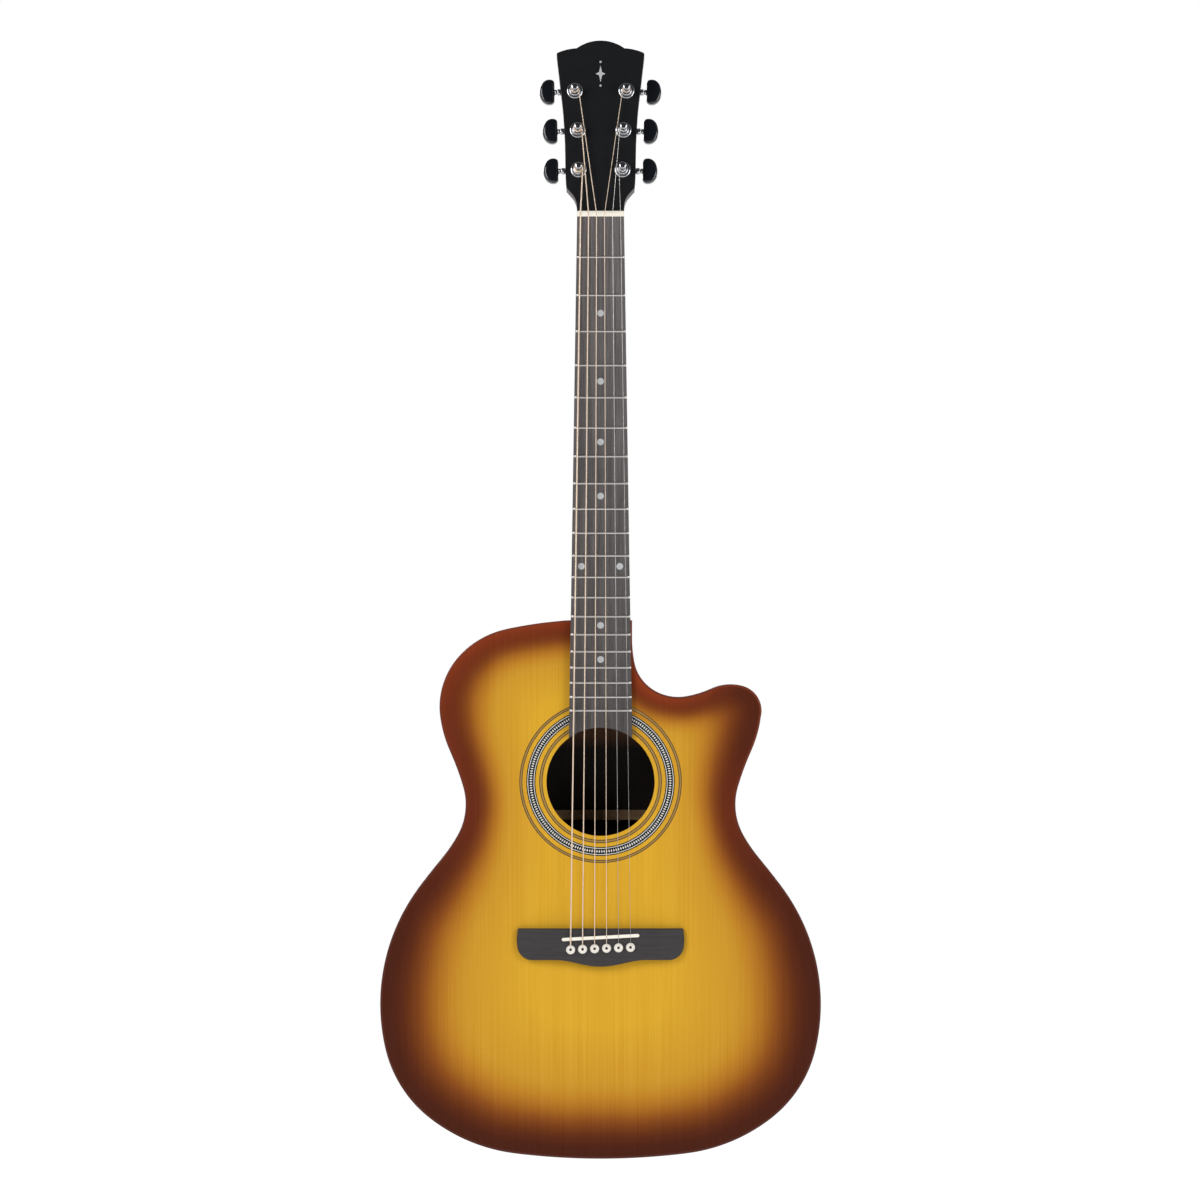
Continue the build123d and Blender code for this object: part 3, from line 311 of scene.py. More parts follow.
def plastic(name, base, tint, roughness, grain=900, coat=0.0, specular=0.5):
    """Moulded or polished hard surface with faint mottling and fine scratches."""
    g = Graph(name)
    cloud = g.noise((grain / 12,) * 3, detail=3)
    speck = g.noise((grain, grain, grain), detail=2, rough=0.7)
    colour = g.mix(cloud, linear(*base), linear(*tint))
    g.bump(speck, 0.00002, 0.2)
    rough = g.to_range(speck, roughness, roughness + 0.10)
    g.finish(colour, rough, specular=specular, coat=coat, coat_rough=0.06)


def edge_strip():
    """Binding under the same stain as the top: dark low down, warmer towards the neck."""
    g = Graph("binding")
    cloud = g.noise((75, 75, 75), detail=3)
    speck = g.noise((900, 900, 900), detail=2, rough=0.7)
    colour = g.ramp(g.up_neck(-0.85, -0.36), [
        (0.0, linear(80, 38, 27)), (0.45, linear(86, 39, 27)), (0.75, linear(112, 48, 29)),
        (1.0, linear(134, 58, 33))])
    colour = g.mix(g.math("MULTIPLY", cloud, 0.35), colour, linear(70, 34, 26))
    g.bump(speck, 0.00002, 0.2)
    g.finish(colour, g.to_range(speck, 0.30, 0.40), specular=0.2)


def metal(name, base, tint, roughness, brushed=(400, 400, 400)):
    """Polished or drawn metal with slight tarnish."""
    g = Graph(name)
    cloud = g.noise((160, 160, 160), detail=4)
    lines = g.noise(brushed, detail=2, rough=0.6)
    colour = g.mix(cloud, linear(*base), linear(*tint))
    g.bump(lines, 0.00001, 0.15)
    g.finish(colour, g.to_range(lines, roughness, roughness + 0.08), metallic=1.0)


def darker_to_bridge(g, colour, end):
    """The colour of a string, made darker towards the bridge by a ramp up the neck."""
    share = g.ramp(g.up_neck(-0.64, 0.0), [(0.0, end), (0.55, 0.5 + end / 2), (1.0, 1.0)])
    return g.mix(1.0, colour, share, blend="MULTIPLY")


def wound_string():
    """Bronze wire wound round a core, as ridges across the string."""
    g = Graph("bronze_string")
    wave = g.add("ShaderNodeTexWave", wave_type="BANDS", bands_direction="Z", wave_profile="SIN")
    g.join(g.scaled((1.0, 1.0, 1.0)), wave.inputs["Vector"])
    wave.inputs["Scale"].default_value = 420.0
    wave.inputs["Distortion"].default_value = 0.0
    cloud = g.noise((500, 500, 60), detail=3)
    base = g.mix(cloud, linear(250, 230, 208), linear(240, 216, 192))
    colour = g.mix(g.math("MULTIPLY", wave.outputs["Fac"], 0.24), base, linear(176, 142, 112))
    g.bump(wave.outputs["Fac"], 0.00006, 0.5)
    g.finish(darker_to_bridge(g, colour, 0.95), g.to_range(cloud, 0.34, 0.44), metallic=0.6)


def plain_string():
    """Drawn steel wire."""
    g = Graph("steel_string")
    cloud = g.noise((160, 160, 60), detail=4)
    lines = g.noise((900, 900, 40), detail=2, rough=0.6)
    colour = g.mix(cloud, linear(254, 250, 247), linear(242, 239, 236))
    g.bump(lines, 0.00001, 0.15)
    g.finish(darker_to_bridge(g, colour, 0.45), g.to_range(lines, 0.36, 0.44), metallic=0.9)


def pearl():
    """Mother-of-pearl with soft cells of shifting grey."""
    g = Graph("pearl")
    cells = g.add("ShaderNodeTexVoronoi", feature="SMOOTH_F1")
    g.join(g.scaled((420, 420, 420)), cells.inputs["Vector"])
    cells.inputs["Scale"].default_value = 1.0
    cloud = g.noise((300, 300, 300), detail=3, distortion=1.5)
    colour = g.mix(cells.outputs["Distance"], linear(188, 192, 198), linear(210, 208, 206))
    colour = g.mix(g.math("MULTIPLY", cloud, 0.4), colour, linear(176, 186, 190))
    g.finish(colour, g.to_range(cloud, 0.16, 0.30), specular=0.6)


spruce_top()
back_wood()
edge_strip()
wound_string()
plain_string()
pearl()
stained_wood("side_wood", (58, 28, 21), (92, 45, 29), (9, 260, 9))
# Wood inside the body: near-black, painted as the shade within the body.
stained_wood("inner_wood_shaded", (30, 20, 15), (46, 30, 21), (110, 110, 10), 0.7, 0.0, specular=0.1)
stained_wood("brace_wood", (150, 120, 90), (176, 144, 108), (14, 400, 400), 0.7, 0.0, specular=0.1)
stained_wood("rosewood", (55, 53, 54), (68, 65, 65), (14, 160, 620), 0.45, 0.0, 0.4, 0.2)
stained_wood("fretboard_wood", (86, 82, 82), (118, 112, 112), (420, 200, 12), 0.42, 0.0, 0.6, 0.3,
             nut_gain=1.6)
stained_wood("neck_wood", (36, 22, 19), (60, 34, 26), (150, 150, 10), 0.3, 0.15, 0.3, 0.3)
plastic("bone", (254, 249, 238), (248, 240, 222), 0.25, coat=0.1)
plastic("pins", (246, 242, 234), (232, 224, 212), 0.20, coat=0.2)
plastic("pin_dot", (18, 18, 19), (30, 30, 32), 0.25)
plastic("black_veneer", (14, 15, 17), (21, 22, 25), 0.34, grain=1400, specular=0.3)
plastic("button_black", (14, 18, 25), (22, 27, 35), 0.12, coat=0.5)
plastic("inlay_black", (14, 13, 16), (22, 21, 25), 0.4, specular=0.2)
plastic("inlay_white", (232, 232, 226), (216, 216, 210), 0.4, specular=0.2)
plastic("inlay_line", (66, 56, 40), (80, 68, 48), 0.45, specular=0.2)
plastic("inlay_tan", (176, 138, 72), (160, 124, 64), 0.45, specular=0.2)
metal("fret_wire", (226, 222, 218), (204, 200, 196), 0.30, (60, 900, 900))
metal("steel", (150, 150, 152), (120, 120, 122), 0.35)
metal("chrome", (206, 208, 212), (188, 190, 195), 0.07)


# ---------------------------------------------------------------- mesh helpers
def new_object(name, data):
    obj = bpy.data.objects.new(name, data)
    bpy.context.scene.collection.objects.link(obj)
    return obj


def piece(name, points, faces, body, material, smooth=True, replaces=(), slot=None, angle=35, marks=()):
    """A finished mesh as a piece that rides on a body; marks give each face its material's number."""
    mesh = bpy.data.meshes.new(name)
    mesh.from_pydata([tuple(p) for p in points], [], [tuple(f) for f in faces])
    materials = material if isinstance(material, (list, tuple)) else [material]
    for item in materials:
        mesh.materials.append(MATERIALS[item])
    if marks:
        mesh.polygons.foreach_set("material_index", marks)
    mesh.validate()
    edit = bmesh.new()
    edit.from_mesh(mesh)
    bmesh.ops.remove_doubles(edit, verts=edit.verts, dist=1e-7)
    bmesh.ops.recalc_face_normals(edit, faces=edit.faces)
    edit.to_mesh(mesh)
    edit.free()
    obj = new_object(name, mesh)
    if smooth:
        mesh.shade_smooth()
        mesh.set_sharp_from_angle(angle=math.radians(angle))
    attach(obj, body)
    if replaces:
        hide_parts(*replaces)
    return obj


def ring(centre, across, third, radius, count):
    """Evenly spaced points of a circle in the plane of two directions."""
    turns = [2 * math.pi * k / count for k in range(count)]
    return [centre + (across * math.cos(t) + third * math.sin(t)) * radius for t in turns]


def in_mm(profile):
    """A profile given in millimetres, in metres."""
    return [(r * MM, h * MM) for r, h in profile]


def grid_faces(rows, columns, closed_rows=False, closed_columns=True, start=0):
    """Quads of a grid of points stored row by row."""
    faces = []
    for r in range(rows if closed_rows else rows - 1):
        for c in range(columns if closed_columns else columns - 1):
            r2 = (r + 1) % rows
            c2 = (c + 1) % columns
            faces.append((start + r * columns + c, start + r * columns + c2,
                          start + r2 * columns + c2, start + r2 * columns + c))
    return faces


class Solids:
    """Several closed shapes gathered into one mesh."""

    def __init__(self):
        self.points = []
        self.faces = []

    def add(self, points, faces):
        start = len(self.points)
        self.points += [Vector(p) for p in points]
        self.faces += [tuple(start + i for i in face) for face in faces]

    def stack(self, rings):
        """Rings of equal length joined in order and closed at both ends."""
        count = len(rings[0])
        faces = grid_faces(len(rings), count)
        last = (len(rings) - 1) * count
        faces += [tuple(range(count))[::-1], tuple(last + i for i in range(count))]
        self.add([p for ring in rings for p in ring], faces)

    def lathe(self, base, axis, side, profile, segments=48, hollow=False):
        """Profile of (radius, height) turned about an axis; side is any direction across it.

        A hollow one is a hoop, whose profile runs round its own section.
        """
        across = side.normalized()
        third = axis.cross(across)
        rings = [ring(base + axis * height, across, third, max(radius, 1e-6), segments)
                 for radius, height in profile]
        if hollow:
            self.add([p for row in rings for p in row], grid_faces(len(rings), segments, closed_rows=True))
        else:
            self.stack(rings)

    def tube(self, path, radius, sides=12):
        """Round wire along a list of points."""
        path = [Vector(p) for p in path]
        last = len(path) - 1
        tangents = [(path[min(i + 1, last)] - path[max(i - 1, 0)]).normalized() for i in range(last + 1)]
        across = tangents[0].orthogonal().normalized()
        rings = []
        for point, tangent in zip(path, tangents):
            across = (across - tangent * across.dot(tangent)).normalized()
            rings.append(ring(point, across, tangent.cross(across), radius, sides))
        self.stack(rings)

    def plate(self, loop, place, bottom, top, rounding, steps=5):
        """Flat outline with rounded edges; place turns (a, b, height) into a point."""
        loop = np.asarray(loop)
        normals = loop_normals(loop)
        levels = []
        for k in range(steps + 1):
            turn = math.pi / 2 * k / steps
            levels.append((rounding * (1 - math.sin(turn)), bottom + rounding * (1 - math.cos(turn))))
        levels = levels + [(inset, top + bottom - height) for inset, height in reversed(levels)]
        rings = []
        for inset, height in levels:
            rings.append([place(a, b, height) for a, b in loop - normals * inset])
        self.stack(rings)

    def piece(self, name, body, material, **options):
        return piece(name, self.points, self.faces, body, material, **options)


def signed_area(loop):
    x, y = loop[:, 0], loop[:, 1]
    return 0.5 * float(np.sum(x * np.roll(y, -1) - y * np.roll(x, -1)))


def loop_normals(loop):
    """Outward normals of a closed loop's points, longer at corners so that offset edges stay parallel."""
    ahead = np.roll(loop, -1, axis=0) - loop
    behind = loop - np.roll(loop, 1, axis=0)
    ahead /= np.linalg.norm(ahead, axis=1)[:, None]
    behind /= np.linalg.norm(behind, axis=1)[:, None]
    along = ahead + behind
    along /= np.linalg.norm(along, axis=1)[:, None]
    reach = 1 / np.maximum((along * ahead).sum(1), 0.5)
    out = np.stack([along[:, 1], -along[:, 0]], axis=1) * reach[:, None]
    return out if signed_area(loop) > 0 else -out


def cad_points(node):
    return np.array([v.co for v in NODES[node].data.vertices])


def face_loops(node, y):
    """Closed border loops, as (x, z) points, of a CAD node's flat face at a depth y."""
    mesh = NODES[node].data
    keys = [tuple(np.round(np.array(v.co) * 1e6).astype(int)) for v in mesh.vertices]
    level = round(y * 1e6)
    counts = {}
    for polygon in mesh.polygons:
        ring = [keys[i] for i in polygon.vertices]
        if all(abs(k[1] - level) <= 1 for k in ring):
            for a, b in zip(ring, ring[1:] + ring[:1]):
                counts[(a, b)] = counts.get((a, b), 0) + 1
    border = {a: b for (a, b) in counts if (b, a) not in counts}
    loops = []
    while border:
        start, point = border.popitem()
        loop = [start]
        while point != start:
            loop.append(point)
            point = border.pop(point)
        loops.append(np.array([(k[0] * 1e-6, k[2] * 1e-6) for k in loop]))
    return sorted(loops, key=lambda l: -abs(signed_area(l)))


def refine(loop, spacing, corner=25.0):
    """The loop with smooth curves through its points, sharp only at real corners.

    A stretch much longer than its neighbour is a straight edge, so it keeps its own direction.
    """
    ahead = np.roll(loop, -1, axis=0) - loop
    lengths = np.linalg.norm(ahead, axis=1)
    directions = ahead / lengths[:, None]
    back = np.roll(directions, 1, axis=0)
    turn = np.degrees(np.arccos(np.clip((directions * back).sum(1), -1, 1)))
    sharp = turn > corner
    before = np.roll(lengths, 1)
    tangent = (directions * before[:, None] + back * lengths[:, None]) / (lengths + before)[:, None]
    straight = 3.0
    tangent = np.where((lengths > straight * before)[:, None], directions, tangent)
    tangent = np.where((before > straight * lengths)[:, None], back, tangent)
    result = []
    for i in range(len(loop)):
        j = (i + 1) % len(loop)
        start = directions[i] if sharp[i] else tangent[i]
        end = directions[i] if sharp[j] else tangent[j]
        steps = max(1, int(math.ceil(lengths[i] / spacing)))
        for k in range(steps):
            t = k / steps
            ends = (2 * t ** 3 - 3 * t ** 2 + 1) * loop[i] + (3 * t ** 2 - 2 * t ** 3) * loop[j]
            pulls = (t ** 3 - 2 * t ** 2 + t) * start + (t ** 3 - t ** 2) * end
            result.append(ends + pulls * lengths[i])
    return np.array(result)


def circle(centre, radius, count):
    turns = np.linspace(0, 2 * math.pi, count, endpoint=False)
    return np.stack([centre[0] + radius * np.cos(turns), centre[1] + radius * np.sin(turns)], axis=1)


def inside(points, loop):
    """Which points lie within a closed loop."""
    x, y = points[:, 0][:, None], points[:, 1][:, None]
    x1, y1 = loop[:, 0], loop[:, 1]
    x2, y2 = np.roll(x1, -1), np.roll(y1, -1)
    crosses = (y1 > y) != (y2 > y)
    with np.errstate(divide="ignore", invalid="ignore"):
        at = (x2 - x1) * (y - y1) / (y2 - y1) + x1
    return (np.sum(crosses & (x < at), axis=1) % 2) == 1


def distance_to(points, loop, chunk=4000):
    """Distance from each point to a closed loop, and the nearest loop point's index."""
    a = loop
    d = np.roll(loop, -1, axis=0) - a
    size = (d * d).sum(1)
    near, index = [], []
    for start in range(0, len(points), chunk):
        p = points[start:start + chunk][:, None, :]
        t = np.clip(((p - a) * d).sum(2) / size, 0, 1)
        gap = np.linalg.norm(p - (a + d * t[:, :, None]), axis=2)
        index.append(gap.argmin(1))
        near.append(gap.min(1))
    return np.concatenate(near), np.concatenate(index)


def triangulate(loops, interior):
    """Triangles over points and closed loops, as (points, faces)."""
    points = [Vector(p) for loop in loops for p in loop] + [Vector(p) for p in interior]
    edges = []
    start = 0
    for loop in loops:
        edges += [(start + i, start + (i + 1) % len(loop)) for i in range(len(loop))]
        start += len(loop)
    verts, _, faces, *_ = delaunay_2d_cdt(points, edges, [], 0, 1e-7)
    return np.array([tuple(v) for v in verts]), [tuple(f) for f in faces]


def hexagonal(low, high, pitch):
    """Evenly packed points over a rectangle."""
    rows = int((high[1] - low[1]) / (pitch * 0.866)) + 1
    columns = int((high[0] - low[0]) / pitch) + 1
    return np.array([(low[0] + pitch * (c + 0.5 * (r % 2)), low[1] + pitch * 0.866 * r)
                     for r in range(rows) for c in range(columns)])


# ---------------------------------------------------------------- soundboard and rosette
TOP_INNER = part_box("soundboard")[1].y
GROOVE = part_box("rosette_center")[1].y
top_loops = face_loops("soundboard", 0.0)
rim_loop = refine(top_loops[0], 2.5 * MM)
edge_loop = refine(face_loops("top_binding", 0.0)[0], 2.5 * MM)
hole_low, hole_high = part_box("rosette_inner")
HOLE = np.array([(hole_low.x + hole_high.x) / 2, (hole_low.z + hole_high.z) / 2])


def ring_radii(node):
    """Nearest and farthest reach of a CAD node from the middle of the hole."""
    gaps = np.linalg.norm(cad_points(node)[:, [0, 2]] - HOLE, axis=1)
    return gaps.min(), gaps.max()


RINGS = {name: ring_radii("rosette_" + name) for name in ("inner", "center", "outer")}
HOLE_RADIUS = ring_radii("soundboard")[0]

# How far the burst reaches in from the rim, in millimetres, at heights and at places across the cutaway.
# These and the amounts of warmth below were measured in the photograph, then changed.
HEIGHTS = (-0.849, -0.825, -0.70, -0.66, -0.63, -0.60, -0.575, -0.547, -0.514, -0.48, -0.45, -0.42,
           -0.39, -0.365)
REACHES = (72, 79, 81, 79, 71, 67, 56, 44, 45, 49, 53, 53, 48, 41)
CUTAWAY_PLACES = (0.030, 0.045, 0.061, 0.095, 0.125, 0.145)
CUTAWAY_REACHES = (40, 38, 34, 39, 60, 64)
# How warm the burst's brown is at heights up the body.
WARM_HEIGHTS = (-0.66, -0.60, -0.55, -0.45, -0.39)
WARM_AMOUNTS = (0.0, 0.1, 0.4, 0.55, 0.9)


def cutaway_share(points):
    """1 on the cutaway side above the waist, 0 elsewhere."""
    return np.where(points[:, 0] > 0.02, np.clip((points[:, 1] + 0.535) / 0.06, 0, 1), 0)


def burst_width(points):
    """How far the burst reaches in from the rim at each place along it."""
    reach = np.interp(points[:, 1], HEIGHTS, REACHES) * MM
    cutaway = np.interp(points[:, 0], CUTAWAY_PLACES, CUTAWAY_REACHES) * MM
    share = cutaway_share(points)
    return reach * (1 - share) + cutaway * share


def burst_amount(points, rim):
    """0 at the rim to 1 where the burst has mostly faded, adding up where two sides are near.

    Each stretch of the rim counts by a high power of its nearness, scaled so that a straight rim alone
    gives just its own distance.
    """
    power = 10
    straight = math.sqrt(math.pi) * math.gamma((power - 1) / 2) / math.gamma(power / 2)
    reach = burst_width(rim)
    stretch = np.linalg.norm(np.roll(rim, -1, axis=0) - rim, axis=1)
    near, index = distance_to(points, rim)
    summed = np.zeros(len(points))
    for start in range(0, len(points), 4000):
        part = slice(start, start + 4000)
        ratio = np.linalg.norm(points[part, None, :] - rim[None], axis=2) / reach[None]
        weights = stretch[None] / np.maximum(near[part, None], 1e-4)
        summed[part] = (np.maximum(ratio, 1e-3) ** -power * weights).sum(1)
    blended = (summed / straight) ** (-1 / power)
    exact = near / reach[index]
    close = np.clip(1 - near / (10 * MM), 0, 1)
    return np.clip(exact * close + blended * (1 - close), 0, BURST_SPAN)


def build_soundboard():
    radii = [HOLE_RADIUS] + [r for pair in RINGS.values() for r in pair]
    circles = [circle(HOLE, r, 240) for r in radii]
    low, high = rim_loop.min(0), rim_loop.max(0)
    field = hexagonal(low, high, 5.5 * MM)
    far = distance_to(field, rim_loop)[0] > 2.5 * MM
    gap = np.linalg.norm(field - HOLE, axis=1)
    clear = gap > HOLE_RADIUS + 2 * MM
    for radius in radii:
        clear &= np.abs(gap - radius) > 2 * MM
    field = field[far & clear & inside(field, rim_loop)]
    points, faces = triangulate([rim_loop] + circles, field)
    centres = np.array([points[list(f)].mean(0) for f in faces])
    gaps = np.linalg.norm(centres - HOLE, axis=1)
    keep = inside(centres, rim_loop) & (gaps > HOLE_RADIUS * 0.9999)
    sunk = np.zeros(len(faces), bool)
    for low_r, high_r in RINGS.values():
        sunk |= (gaps > low_r) & (gaps < high_r)
    verts, index = [], {}

    def vertex(i, y):
        key = (i, y)
        if key not in index:
            index[key] = len(verts)
            verts.append((points[i][0], y, points[i][1]))
        return index[key]

    result, level_of = [], {}
    for face, kept, low_face in zip(faces, keep, sunk):
        if not kept:
            continue
        y = GROOVE if low_face else 0.0
        result.append([vertex(i, y) for i in face])
        result.append([vertex(i, TOP_INNER) for i in face[::-1]])
        for a, b in zip(face, face[1:] + face[:1]):
            level_of[(a, b)] = y
    for (a, b), y in level_of.items():
        other = level_of.get((b, a), TOP_INNER)
        if other > y:
            result.append([vertex(b, y), vertex(a, y), vertex(a, other), vertex(b, other)])
    board = piece("soundboard_burst", verts, result, "root", "spruce_top", replaces=["soundboard"])
    flat = np.array([(v.co.x, v.co.z) for v in board.data.vertices])
    add_burst(board.data, flat)
    return board


def add_burst(mesh, flat):
    burst = mesh.attributes.new("burst", "FLOAT", "POINT")
    burst.data.foreach_set("value", (burst_amount(flat, edge_loop) / BURST_SPAN).astype(np.float32))
    warm = mesh.attributes.new("warm", "FLOAT", "POINT")
    amount = np.interp(flat[:, 1], WARM_HEIGHTS, WARM_AMOUNTS)
    horn = np.clip((flat[:, 0] - 0.095) / 0.03, 0, 1) * cutaway_share(flat)
    by_neck = np.clip((0.105 - flat[:, 0]) / 0.05, 0, 1) * cutaway_share(flat)
    warm.data.foreach_set("value", (amount * (1 - 0.85 * horn) + 0.45 * by_neck).astype(np.float32))


def band(solids, marks, low_r, high_r, y_back, colour, count=360):
    """A flat ring let into the top."""
    inner = circle(HOLE, low_r, count)
    outer = circle(HOLE, high_r, count)
    rings = [[(p[0], 0.0, p[1]) for p in inner], [(p[0], 0.0, p[1]) for p in outer],
             [(p[0], y_back, p[1]) for p in outer], [(p[0], y_back, p[1]) for p in inner]]
    faces = grid_faces(4, count, closed_rows=True)
    solids.add([p for ring in rings for p in ring], faces)
    marks += [colour] * len(faces)


def build_ring(name, bands):
    """One rosette ring from bands given as (share of the width, material number)."""
    low_r, high_r = RINGS[name]
    solids, marks = Solids(), []
    radius = low_r
    for share, colour in bands:
        step = (high_r - low_r) * share
        if colour is None:
            mosaic(solids, marks, radius, radius + step)
        else:
            band(solids, marks, radius, radius + step, GROOVE, colour)
        radius += step
    return solids, marks


MOSAIC_CELLS = 180


def mosaic(solids, marks, low_r, high_r):
    """Black band with a ring of small white diamonds on its face."""
    middle = (low_r + high_r) / 2
    tall = (high_r - low_r) * 0.31
    wide = math.pi / MOSAIC_CELLS * 0.66
    half = math.pi / MOSAIC_CELLS
    points, faces = [], []
    for k in range(MOSAIC_CELLS):
        centre = 2 * math.pi * (k + 0.5) / MOSAIC_CELLS
        corners = ((low_r, centre - half), (low_r, centre + half), (high_r, centre + half),
                   (high_r, centre - half))
        diamond = ((middle - tall, centre), (middle, centre + wide), (middle + tall, centre),
                   (middle, centre - wide))
        start = len(points)
        for spots, y in ((corners, 0.0), (diamond, 0.0), (corners, GROOVE)):
            points += [(HOLE[0] + r * math.cos(t), y, HOLE[1] + r * math.sin(t)) for r, t in spots]
        cell = ((4, 5, 6, 7), (0, 1, 4), (0, 4, 7), (1, 5, 4), (3, 6, 2), (3, 7, 6), (2, 6, 5), (0, 7, 3),
                (1, 2, 5), (0, 8, 9, 1), (2, 10, 11, 3), (11, 10, 9, 8))
        faces += [tuple(start + i for i in f) for f in cell]
        marks += [2] + [0] * (len(cell) - 1)
    solids.add(points, faces)


def build_rosette():
    plans = {
        "inner": ((0.27, 3), (0.46, 4), (0.27, 3)),
        "center": ((0.12, 0), (0.075, 2), (0.61, None), (0.075, 2), (0.12, 0)),
        "outer": ((0.29, 3), (0.42, 4), (0.29, 3)),
    }
    names = ["inlay_black", "rosewood", "inlay_white", "inlay_line", "inlay_tan"]
    for name, plan in plans.items():
        solids, marks = build_ring(name, plan)
        solids.piece("rosette_" + name + "_inlay", "root", names, smooth=False, marks=marks, slot="rosette",
                     replaces=["rosette_" + name])


DOME_RADIUS = 4500 * MM
DOME_TOP = Vector((0, 111 * MM, -736 * MM))
BINDING_HEIGHT = 6 * MM
BINDING_WIDTH = 2 * MM
BINDING_ROUND = 1.1 * MM


def dome_y(point, depth):
    """Depth of the arched back at a place in the outline, a depth inside its outer face."""
    along = (DOME_RADIUS - depth) ** 2 - point[0] ** 2 - (point[1] - DOME_TOP.z) ** 2
    return DOME_TOP.y - DOME_RADIUS + math.sqrt(along)


def build_bindings():
    """Strips round the front and back edges with their outer corner rounded over."""
    normals = loop_normals(edge_loop)
    steps = 6
    rounded = [(BINDING_ROUND * (1 - math.sin(math.pi / 2 * k / steps)),
                BINDING_ROUND * (1 - math.cos(math.pi / 2 * k / steps))) for k in range(steps + 1)]
    section = [(BINDING_WIDTH, BINDING_HEIGHT), (BINDING_WIDTH, 0.0)] + rounded + [(0.0, BINDING_HEIGHT)]
    for side in ("top", "back"):
        rings = []
        for inset, depth in section:
            rings.append([(x, depth if side == "top" else dome_y((x, z), depth), z)
                          for x, z in edge_loop - normals * inset])
        solids = Solids()
        solids.add([p for row in rings for p in row],
                   grid_faces(len(rings), len(edge_loop), closed_rows=True))
        solids.piece(side + "_edge_binding", "root", "binding", replaces=[side + "_binding"])


build_soundboard()
build_rosette()
build_bindings()

# ---------------------------------------------------------------- head frame and tuner places
first_post = JOINTS["post_turn_e6"]
OUT = Vector(first_post["axis"]).normalized()
SIDE = Vector((1, 0, 0))
UP = OUT.cross(SIDE)
HEAD_ORIGIN = Vector(first_post["pos_m"]) - UP * Vector(first_post["pos_m"]).dot(UP)
HEAD_ORIGIN.x = 0.0


def on_head(x, up, out):
    """Point from its place across, up and out from the head's front face."""
    return HEAD_ORIGIN + SIDE * x + UP * up + OUT * out


def head_place(point):
    """Across, up and out of a point on the head."""
    offset = Vector(point) - HEAD_ORIGIN
    return offset.dot(SIDE), offset.dot(UP), offset.dot(OUT)


def post_centre(name):
    return head_place(JOINTS["post_turn_" + name]["pos_m"])


def key_centre(name):
    return head_place(JOINTS["key_turn_" + name]["pos_m"])


def arc_corner(before, corner, after, radius, steps=6):
    """Points that round a corner of a path."""
    into = (corner - before).normalized()
    out = (after - corner).normalized()
    angle = into.angle(out)
    if angle < 1e-3:
        return [corner]
    room = 0.45 * min((corner - before).length, (after - corner).length)
    reach = min(radius * math.tan(angle / 2), room)
    start, end = corner - into * reach, corner + out * reach
    return [(1 - t) ** 2 * start + 2 * t * (1 - t) * corner + t ** 2 * end
            for t in [k / steps for k in range(steps + 1)]]


POST_RADIUS = 3.0 * MM
STRING_GAP_NUT = 7.2 * MM
STRING_GAP_SADDLE = 10.8 * MM
WIND_HEIGHTS = dict(zip(STRINGS, (4.4 * MM, 6.2 * MM, 6.6 * MM, 6.6 * MM, 6.2 * MM, 4.4 * MM)))
WIND_TURNS = dict(zip(STRINGS, (2.5, 3.0, 3.5, 4.0, 5.0, 6.0)))
POST_HOLE = 11.4 * MM
NUT_TOP = 7.9 * MM
NUT_MIDDLE = 2.5 * MM
BALL_RADIUS = 2.2 * MM


def string_kind(name):
    return "bronze_string" if name in WOUND else "steel_string"


def string_x(index, gap):
    return (index - (len(STRINGS) - 1) / 2) * gap


def string_line(index):
    """Corners of a string: ball end, pin, saddle, nut and the point where it meets its post."""
    name = STRINGS[index]
    radius = DIAMETERS[name] / 2
    cad = cad_points("string_" + name)
    low_x, nut_x = string_x(index, STRING_GAP_SADDLE), string_x(index, STRING_GAP_NUT)
    saddle_zone = cad[cad[:, 2] < -0.63]
    pin_zone = saddle_zone[saddle_zone[:, 1] > -8 * MM]
    exit_z = float(np.median(pin_zone[:, 2]))
    saddle_low, saddle_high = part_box("saddle")
    slant = (saddle_high.z - saddle_low.z - 3 * MM) / (saddle_high.x - saddle_low.x - 3 * MM)
    saddle_z = (saddle_low.z + saddle_high.z) / 2 + low_x * slant
    front = float(saddle_zone[:, 1].min())
    nut_y = CAMBER - NUT_TOP - math.sqrt(CAMBER ** 2 - nut_x ** 2)
    nut_point = Vector((nut_x, nut_y, NUT_MIDDLE))
    centre_x, centre_up, _ = post_centre(name)
    start = head_place(nut_point)
    side = 1 if centre_x > 0 else -1
    reach = POST_RADIUS + radius
    run = math.hypot(centre_x - start[0], centre_up - start[1])
    bearing = math.atan2(centre_up - start[1], centre_x - start[0]) + math.asin(reach / run) * side
    length = math.sqrt(run ** 2 - reach ** 2)
    end = on_head(start[0] + length * math.cos(bearing), start[1] + length * math.sin(bearing),
                  WIND_HEIGHTS[name])
    return [Vector((low_x, 9 * MM, exit_z)), Vector((low_x, -9.5 * MM, exit_z)),
            Vector((low_x, front + radius, saddle_z)), nut_point, end]


def build_strings():
    """Each string from its ball end over pin, saddle and nut to its post."""
    bends = (1.8 * MM, 3 * MM, 6 * MM)
    turns = [math.pi * k / 12 for k in range(13)]
    ball = [(BALL_RADIUS * math.sin(t), 10 * MM - BALL_RADIUS * math.cos(t)) for t in turns]
    for index, name in enumerate(STRINGS):
        corners = string_line(index)
        path = [corners[0]]
        for before, corner, after, radius in zip(corners, corners[1:], corners[2:], bends):
            path += arc_corner(before, corner, after, radius)
        path.append(corners[-1])
        solids = Solids()
        solids.tube(path, DIAMETERS[name] / 2, 16)
        solids.lathe(Vector((corners[0].x, 0, corners[0].z)), Vector((0, 1, 0)), SIDE, ball, 24)
        solids.piece("string_wire_" + name, "root", string_kind(name), replaces=["string_" + name])


